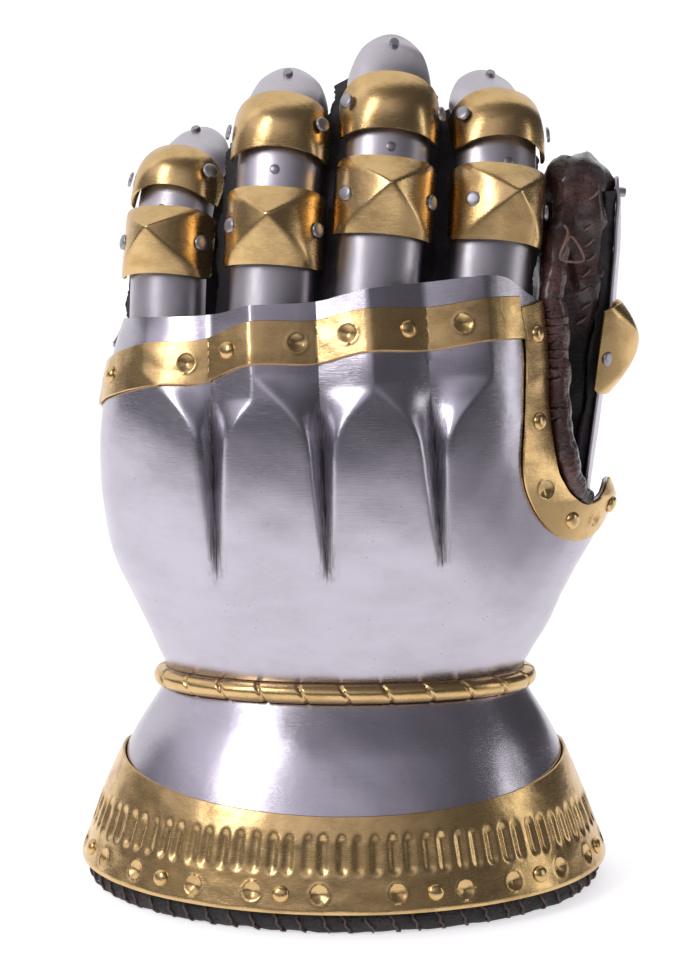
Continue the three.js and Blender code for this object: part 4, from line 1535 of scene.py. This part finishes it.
    def strap(self, start: float, end: float) -> None:
        """Makes the suede strap whose frayed wings show beside the plates.

        Args:
            start: Distance of its lower end along the finger.
            end: Distance of its upper end.
        """
        half = np.array(self.strap_half)
        corners = np.vstack([half, (half * [-1, 1])[-2::-1]])
        section = spline(corners, 5)
        rows = int((end - start) / 0.7)
        stations = np.linspace(start, end, rows)
        place = np.linspace(-1, 1, len(section))
        rng = np.random.default_rng(RNG_SEED + len(self.finger.name))
        sections = []
        for s in stations:
            close = 1 - 0.1 * smooth(0.6, 1, (s - start) / (end - start))
            wave = (0.5 * np.sin(s * 0.23 + self.finger.yaw) + 0.25 * np.sin(s * 0.61 + 1)
                    + rng.normal() * 0.16)
            fray = np.abs(place) ** 10 * wave
            sections.append(section * [close * self.finger.width, close]
                            + np.stack([fray * np.sign(place), -0.4 * fray], axis=1))
        points = self.finger.tube(stations, sections)
        faces = grid_faces(rows, len(section))
        points += vertex_normals(points, faces) * (0.2 * ripple(points, 5, 4))[:, None]
        mesh = shell(points, faces, 1.2, 0, 0.3)
        self.shop.piece(f"{self.finger.name}_suede_strap", mesh, Finish.SUEDE, [f"{self.finger.name}_strap"])


@dataclass
class ThumbArmour(FingerArmour):
    """The thumb's plates: one raised brass plate between two steel ones."""

    finger: Finger = THUMB
    strap_half: Rows = ((-7.4, 4.6), (-5.8, 6.4), (-3.0, 7.9), (0, 8.3))
    lame_spread: float = 34.0
    plate_spread: float = 58.0
    boss_bow: float = 1.7
    root_start: float = 12.0
    strap_start: float = 9.0
    strap_short: float = 4.0
    boss_seat: float = 0.3
    flank: float = 44.0  # angle of its one rivet
    rivet_below: float = 2.5  # how far that lies below the plate's middle

    def build(self) -> None:
        """Makes the thumb's plates, rivets and strap."""
        f = self.finger
        self.lame("root_lame", self.root_start, f.knuckle - f.boss / 2 + self.tuck / 2)
        self.boss()
        self.tip(f.knuckle + f.boss / 2 - self.tuck / 2, f.tip)
        heap = Heap()
        self.flank_rivets(heap, f.knuckle - self.rivet_below, (-self.flank,), self.boss_seat)
        self.tip_pin(heap)
        mesh = heap.mesh()
        plain = {"groove": np.zeros(len(mesh[0]))}
        self.shop.piece("thumb_steel_rivets", mesh, Finish.RIVET_STEEL, (), plain)
        self.strap(self.strap_start, f.tip - self.strap_short)


# -------------------------------------------------------------------------------- leather
@dataclass
class Glove:
    """The leather glove: one skin over the hand and five fingers, its rolled edge and its stitching."""

    shop: Workshop
    stall: float = 9.1
    drop: float = 3.8
    thumb_rise: float = 0.7
    wall: float = 1.5
    grain: float = 1.45  # size of the skin's faces
    open_z: float = 55.0
    ball_middle: tuple[float, float, float] = (42.5, 13.5, 101)  # middle of the ball of the thumb
    ball_size: tuple[float, float, float] = (16.5, 12, 33)  # its half width, depth and height
    palm: Rows = ((53, 27), (66, 28.5), (90, 27), (118, 24), (134, 18), (150, 13))

    def hand(self) -> Mesh:
        """The hand as a closed form.

        Returns:
            Its points and faces.
        """
        count = 72
        turn = np.radians(np.arange(count) / count * 360 - 180)
        rows = []
        levels = [48, 54, 62, 70, 78, 86, 94, 102, 110, 118, 126, 134, 140, 145, 149, 152]
        for z in levels:
            inset = STEEL_WALL + 2 + 6.5 * smooth(72, 100, z) + 3.5 * smooth(140, 153, z)
            column = np.where(np.sin(turn) < 0, curve(BODY.sections, z, 1), curve(BODY.sections, z, 2))
            half = np.minimum(column, np.where(np.sin(turn) < 0, 64, 53)) - inset
            front = float(curve(BODY.sections, z, 3)) - inset
            deep = np.where(np.cos(turn) > 0, front, float(table(self.palm, z)))
            y = -deep * np.cos(turn)
            rows.append(np.stack([half * np.sin(turn), y + BODY.lean * (z - BODY.waist_z),
                                  z - y * BODY.lean], axis=1))
        caps = [tuple(range(count - 1, -1, -1)), tuple(range((len(rows) - 1) * count, len(rows) * count))]
        return np.vstack(rows), [tuple(q) for q in grid_faces(len(rows), count, True).tolist()] + caps

    def finger(self, f: Finger, start: float, end: float) -> Mesh:
        """One finger as a closed form with folds where it bends.

        Args:
            f: The finger.
            start: Distance of its lower end along the finger.
            end: Distance of its upper end.

        Returns:
            Its points and faces.
        """
        count, rows = 40, int((end - start) / 0.9)
        stations = np.linspace(start, end, rows)
        turn = np.arange(count) / count * math.tau
        sections = []
        for s in stations:
            close = math.sqrt(max(0.02, 1 - max(0.0, (s - end + 9) / 9.2) ** 2))
            fold = sum(0.35 * math.exp(-((s - joint - k) / 0.9) ** 2)
                       for joint in (f.knuckle, f.joint) for k in (-3.2, 0, 3.0))
            radius = close * (self.stall - fold + 0.25 * math.sin(0.7 * s + f.yaw) - self.slack(f, s, turn))
            drop = self.drop - self.thumb_rise * float(smooth(55, 80, s)) * (f is THUMB)
            sections.append(np.stack([radius * np.sin(turn), radius * np.cos(turn) - drop], axis=1))
        caps = [tuple(range(count - 1, -1, -1)), tuple(range((rows - 1) * count, rows * count))]
        quads = [tuple(q) for q in grid_faces(rows, count, True).tolist()]
        return f.tube(stations, sections), quads + caps

    def thumb_root(self) -> Mesh:
        """The ball of the thumb as a closed form.

        Returns:
            Its points and faces.
        """
        count, rings = 32, 17
        turn = np.arange(count) / count * math.tau
        rise = np.radians(np.linspace(-84, 84, rings))
        points = np.stack([np.outer(np.cos(rise), np.sin(turn)), -np.outer(np.cos(rise), np.cos(turn)),
                           np.outer(np.sin(rise), np.ones(count))], axis=-1)
        caps = [tuple(range(count - 1, -1, -1)), tuple(range((rings - 1) * count, rings * count))]
        quads = [tuple(q) for q in grid_faces(rings, count, True).tolist()]
        return points.reshape(-1, 3) * self.ball_size + self.ball_middle, quads + caps

    @staticmethod
    def slack(f: Finger, s: float, turn: Array) -> Array:
        """Depth of the long folds in the thumb's loose leather; none on the fingers.

        Args:
            f: The finger.
            s: Distance along it.
            turn: Angles round it.

        Returns:
            Their depth at each angle.
        """
        if f is not THUMB:
            return 0 * turn
        away = np.angle(np.exp(1j * (turn - math.radians(-84 + 14 * math.sin(s / 17)))))
        second = np.angle(np.exp(1j * (turn - math.radians(-128 - 10 * math.sin(s / 13 + 1)))))
        return (2.6 * math.exp(-((s - 76) / 26) ** 2) * np.exp(-(away / 0.24) ** 2)
                + 1.8 * math.exp(-((s - 66) / 22) ** 2) * np.exp(-(second / 0.2) ** 2))

    def joined(self, heap: Heap) -> tuple[Array, Array]:
        """One even skin over overlapping closed forms.

        Args:
            heap: The forms.

        Returns:
            Points and four-sided faces.
        """
        mesh = bpy.data.meshes.new("forms")
        mesh.from_pydata(heap.mesh()[0].tolist(), [], heap.faces)
        form = bpy.data.objects.new("forms", mesh)
        bpy.context.scene.collection.objects.link(form)
        melt = form.modifiers.new("melt", "REMESH")
        melt.mode = "VOXEL"
        melt.voxel_size = self.grain
        result = form.evaluated_get(bpy.context.evaluated_depsgraph_get()).to_mesh()
        points = np.empty(len(result.vertices) * 3)
        result.vertices.foreach_get("co", points)
        quads = np.array([p.vertices[:] for p in result.polygons if len(p.vertices) == 4])
        bpy.data.objects.remove(form)
        return points.reshape(-1, 3), quads

    def relaxed(self, points: Array, quads: Array, rounds: int) -> Array:
        """Points drawn towards their neighbours.

        Args:
            points: The points.
            quads: The faces.
            rounds: How many times.

        Returns:
            The drawn points.
        """
        a, b = quads.ravel(), np.roll(quads, -1, axis=1).ravel()
        count = len(points)
        degree = (np.bincount(a, minlength=count) + np.bincount(b, minlength=count))[:, None]
        for _ in range(rounds):
            total = np.zeros_like(points)
            np.add.at(total, a, points[b])
            np.add.at(total, b, points[a])
            points = points + 0.55 * (total / np.maximum(degree, 1) - points)
        return points

    def wrinkled(self, points: Array, normals: Array) -> Array:
        """Points with the folds and slack of worn leather.

        Args:
            points: The points.
            normals: Their outward directions.

        Returns:
            The wrinkled points.
        """
        thumb = smooth(44, 54, points[:, 0]) * smooth(110, 125, points[:, 2])
        stretched = points * np.stack([1 + 0.3 * thumb, 1 + 0 * thumb, 0.75 - 0.4 * thumb], axis=1)
        folds = 1 - np.abs(ripple(stretched, 11, 5))
        fine = 1 - np.abs(ripple(points * [1, 1, 1.3], 4.6, 6))
        slack = (0.35 * ripple(points, 24, 7) + (0.35 + 1.7 * thumb) * folds ** 2
                 + (0.22 + 0.2 * thumb) * fine ** 2)
        return points + normals * (slack - 0.3)[:, None]

    def build(self) -> None:
        """Makes the skin, the rolled edge and the stitches."""
        heap = Heap()
        heap.add(*self.hand())
        for f in FINGERS:
            heap.add(*self.finger(f, -9, f.tip - 0.5))
        heap.add(*self.finger(THUMB, 2, THUMB.tip + 5))
        heap.add(*self.thumb_root())
        points, quads = self.joined(heap)
        points = self.relaxed(points, quads, 5)
        points = self.wrinkled(points, vertex_normals(points, quads))
        points = self.relaxed(points, quads, 1)
        quads = quads[(points[quads][:, :, 2] > self.open_z).all(axis=1)]
        used = np.unique(quads)
        place = np.full(len(points), -1)
        place[used] = np.arange(len(used))
        mesh = shell(points[used], place[quads], self.wall)
        x, y, z = mesh[0].T
        # Painted shade: inner marks the skin on the thumb's side, low in the thumb opening and towards the
        # front, which the finish paints near black.
        inner = smooth(40, 46, x) * smooth(162, 148, z) * smooth(15, 8, y)
        nodes = ["glove_hand", "thumb_stall", *(f"{f.name}_stall" for f in FINGERS)]
        self.shop.piece("leather_glove", mesh, Finish.GLOVE, nodes, {"inner": inner}, 180)
        self.roll()
        self.stitches()

    def roll(self) -> None:
        """Makes the rolled leather edge inside the thumb opening."""
        edge = edge_line(THUMB_EDGE)
        keep = np.linspace(0, int(len(edge) * 0.62), 150).astype(int)
        path = BODY.point(edge[keep, 0], edge[keep, 1]) + [3.7, 2.6, 0]
        rise = spline(path[0] + np.array([(6.5, 20, 28), (4.0, 13, 22), (1.2, 5, 12), (0, 0, 0)]), 14)
        path = np.vstack([rise[:-1], path])
        count = len(path)
        points, faces = cord(path, 1.0, 22)
        middle = np.repeat(path, 22, axis=0)
        out = unit(points - middle)
        share = np.repeat(np.linspace(0, 1, count), 22)
        radius = 3.6 - 1.4 * smooth(0.6, 1, share) + 0.34 * ripple(points, 9, 8)
        radius -= 0.5 * (1 - np.abs(ripple(points * [1.3, 1.3, 0.5], 5.2, 9))) ** 2
        # The roll gets no painted shade: its inner mask is 0.
        self.shop.piece("leather_roll", (middle + out * radius[:, None], faces), Finish.GLOVE,
                        masks={"inner": np.zeros(len(points))}, sharp=180)

    def stitches(self) -> None:
        """Makes the whip stitches up the thumb's seam and their loose end."""
        heap = Heap()
        rng = np.random.default_rng(RNG_SEED)
        for s in np.arange(60, 98, 4.3):
            turn = math.radians(-66 + 5 * math.sin(s))
            ends = []
            for shift, lift in ((-1.3, 0.1), (-0.5, 0.75), (0.5, 0.75), (1.3, 0.1)):
                middle, side, dorsal, _ = THUMB.place(float(s + shift * 0.9 + rng.uniform(-0.2, 0.2)))
                around = turn + shift * 0.11
                out = side * math.sin(around) + dorsal * math.cos(around)
                ends.append(middle - dorsal * (self.drop - self.thumb_rise) + out * (self.stall + lift))
            heap.add(*cord(spline(ends, 4), 0.33, 7))
        loop = ((58.2, -9.5, 176.0), (60.5, -12.0, 179.5), (64.0, -10.5, 173.5), (60.6, -12.2, 172.8),
                (57.4, -12.0, 174.2), (59.4, -12.6, 180.4), (58.5, -11.5, 182.5))
        heap.add(*cord(spline(loop, 8), 0.34, 7))
        self.shop.piece("thumb_stitches", heap.mesh(), Finish.THREAD)


@dataclass
class CuffLining:
    """The leather lining of the cuff, whose thick hem the gauntlet stands on, and its whip stitches."""

    shop: Workshop
    wall: float = 2.2
    stitch_pitch: float = 6.4

    def build(self) -> None:
        """Makes the lining and its stitches."""
        columns = 420
        angle = np.linspace(-180, 180, columns, endpoint=False)
        profile = ((0.35, 3.4), (0.9, 2.3), (1.8, 1.75), (2.9, 1.6), (4.0, 1.75), (5.0, 2.15), (6.0, 2.6))
        rows = []
        hem = BODY.point(angle, np.full(columns, BODY.rim_z))
        out = BODY.normal(angle, np.full(columns, BODY.rim_z))
        out = unit(out * [1, 1, 0])
        for z, inset in profile:
            row = hem - out * inset
            row[:, 2] = z
            rows.append(row)
        inside = STEEL_WALL + GAP
        rows += [BODY.off(angle, np.full(columns, z), -np.full(columns, inside + extra))
                 for z, extra in ((9.3, 0.5), (14, 0.2), (23, 0), (32, 0), (40.5, 0), (50, 0))]
        points = np.vstack(rows)
        low = smooth(8, 4, points[:, 2])[:, None]
        normals = vertex_normals(points, grid_faces(len(rows), columns, True))
        points += normals * low * (0.32 * ripple(points * [1, 1, 2.5], 13, 11)
                                   + 0.2 * ripple(points, 4.5, 12))[:, None]
        points[:, 2] = np.maximum(points[:, 2], 0.25)
        mesh = shell(points, grid_faces(len(rows), columns, True), self.wall, 0, 0.2)
        mesh[0][:, 2] = np.maximum(mesh[0][:, 2], 0)
        self.shop.piece("cuff_leather_lining", mesh, Finish.LINING, ["cuff_lining"])
        self.stitches(angle, hem, out)

    def stitches(self, angle: Array, hem: Array, out: Array) -> None:
        """Makes the slanted stitches that bind the hem to the brass.

        Args:
            angle: Angles round the hem; not used.
            hem: Places on its edge.
            out: Level outward directions there.
        """
        heap = Heap()
        walk = np.cumsum(np.linalg.norm(np.roll(hem, -1, axis=0) - hem, axis=1))
        rng = np.random.default_rng(RNG_SEED + 1)
        for start in np.arange(3, walk[-1] - 4, self.stitch_pitch):
            start += rng.uniform(-1.0, 1.0)
            path = []
            for shift, z, inset in ((0, 5.4, 2.1), (0.6, 4.3, 1.35), (1.3, 3.0, 1.2), (2.0, 1.8, 1.4),
                                    (2.6, 0.9, 2.0), (3.0, 0.55, 3.0)):
                i = int(np.searchsorted(walk, start + shift * 0.8)) % len(hem)
                place = hem[i] - out[i] * inset
                path.append((place[0], place[1], z))
            heap.add(*cord(spline(path, 3), 0.36, 7))
        self.shop.piece("hem_stitches", heap.mesh(), Finish.HEM_THREAD)


# -------------------------------------------------------------------------------- studio
@dataclass
class Studio:
    """White table, soft lights and the camera."""

    camera: tuple[float, float, float] = (-2.84, -805.55, 258.0)
    target: tuple[float, float, float] = (-1.49, 4.45, 108.6)
    lens: float = 110.0
    sensor: float = 36.0
    table_size: float = 40.0

    def build(self) -> None:
        """Makes the table, lights and camera."""
        self.table()
        self.world()
        self.sun("window", (-220, 760, 700), 100, 1.55)
        self.softbox("key_softbox", (-800, -700, 850), (0, 0, 90), (380, 620), 4.0)
        self.softbox("side_softbox", (880, -120, 260), (0, 0, 110), (180, 420), 0.45)
        data = bpy.data.cameras.new("camera")
        data.lens, data.sensor_width, data.sensor_height = self.lens, self.sensor, self.sensor
        data.sensor_fit = "AUTO"
        data.clip_end = 100
        camera = bpy.data.objects.new("camera", data)
        bpy.context.scene.collection.objects.link(camera)
        self.aim(camera, self.camera, self.target)
        bpy.context.scene.camera = camera
        bpy.context.scene.view_settings.view_transform = "Standard"

    @staticmethod
    def aim(thing: bpy.types.Object, place: Sequence[float], target: Sequence[float]) -> None:
        """Puts a light or camera at a place, facing a target, in millimetres."""
        thing.location = Vector(place) * MM
        thing.rotation_euler = (Vector(target) - Vector(place)).to_track_quat("-Z", "Y").to_euler()

    def softbox(self, name: str, place: Sequence[float], target: Sequence[float], size: Sequence[float],
                power: float) -> None:
        """Hangs a rectangular soft light.

        Args:
            name: Its name.
            place: Where it hangs, in millimetres.
            target: What it faces.
            size: Its width and height.
            power: Its power in watts.
        """
        data = bpy.data.lights.new(name, "AREA")
        data.shape = "RECTANGLE"
        data.size, data.size_y = size[0] * MM, size[1] * MM
        data.energy = power
        light = bpy.data.objects.new(name, data)
        bpy.context.scene.collection.objects.link(light)
        self.aim(light, place, target)

    def table(self) -> None:
        """Lays the white table, glowing to stay white, with painted shade towards the camera and to the
        right.
        """
        half = self.table_size / 2
        mesh = bpy.data.meshes.new("white_table")
        corners = [(-half, -half, 0), (half, -half, 0), (half, half, 0), (-half, half, 0)]
        mesh.from_pydata(corners, [], [(0, 1, 2, 3)])
        s = Shader("white_table")
        way = s.node("ShaderNodeSeparateXYZ", {}, {"Vector": s.place})
        # Painted shade: towards the camera and to the right the table is painted darker and glows less, so
        # the metal reflects dark there.
        front = (0 - way.value("Y")).between(0.25, 0.64)
        right = way.value("X").between(0.10, 0.30) * (0 - way.value("Y")).between(-0.15, 0.08)
        far = 1 - (1 - front) * (1 - right * 0.78)
        paint = s.mix(far, (0.86, 0.855, 0.87), (0.30, 0.29, 0.31))
        glow = s.mix(far, (1.0, 0.99, 1.0), (0.1, 0.1, 0.1))
        mesh.materials.append(s.finish(Base_Color=paint, Roughness=0.9, Emission_Color=glow,
                                       Emission_Strength=0.62))
        plane = bpy.data.objects.new("white_table", mesh)
        bpy.context.scene.collection.objects.link(plane)

    @staticmethod
    def world() -> None:
        """Fills the room with soft light: dark in front near the table, paler overhead and behind."""
        world = bpy.data.worlds.new("room")
        s = Shader.of_world(world)
        way = s.node("ShaderNodeSeparateXYZ", {}, {"Vector": s.place})
        side = (way.value("X") * -0.6 + 0.75).between(0.2, 1.0)
        behind = way.value("Y").between(-0.1, 0.5)
        upward = way.value("Z").between(0.19, 0.46) * side * (1 - behind)
        high = way.value("Z").between(0.64, 0.80) * side * (1 - behind)
        left = (0 - way.value("X")).between(0.1, 0.9)
        light = 0.08 + upward * 0.80 - high * 0.62 + left * 0.06
        s.fill(s.surface, {"Color": (0.93, 0.90, 1.0, 1), "Strength": light})
        bpy.context.scene.world = world

    def sun(self, name: str, place: Sequence[float], spread: float, strength: float) -> None:
        """Lights the whole table from far away, softly.

        Args:
            name: The light's name.
            place: The direction that it comes from.
            spread: How wide it is, in degrees.
            strength: Its strength.
        """
        data = bpy.data.lights.new(name, "SUN")
        data.energy, data.angle = strength, math.radians(spread)
        light = bpy.data.objects.new(name, data)
        bpy.context.scene.collection.objects.link(light)
        self.aim(light, place, (0, 0, 0))


def main() -> None:
    """Builds the gauntlet's pieces in order, then the studio."""
    logging.basicConfig(level=logging.INFO, format="%(name)s: %(message)s")
    shop = Workshop()
    HourglassPlate(shop).build()
    Bands(shop).build()
    for finger in FINGERS:
        FingerArmour(shop, finger).build()
    ThumbArmour(shop).build()
    Glove(shop).build()
    CuffLining(shop).build()
    Studio().build()


if __name__ == "__main__":
    main()
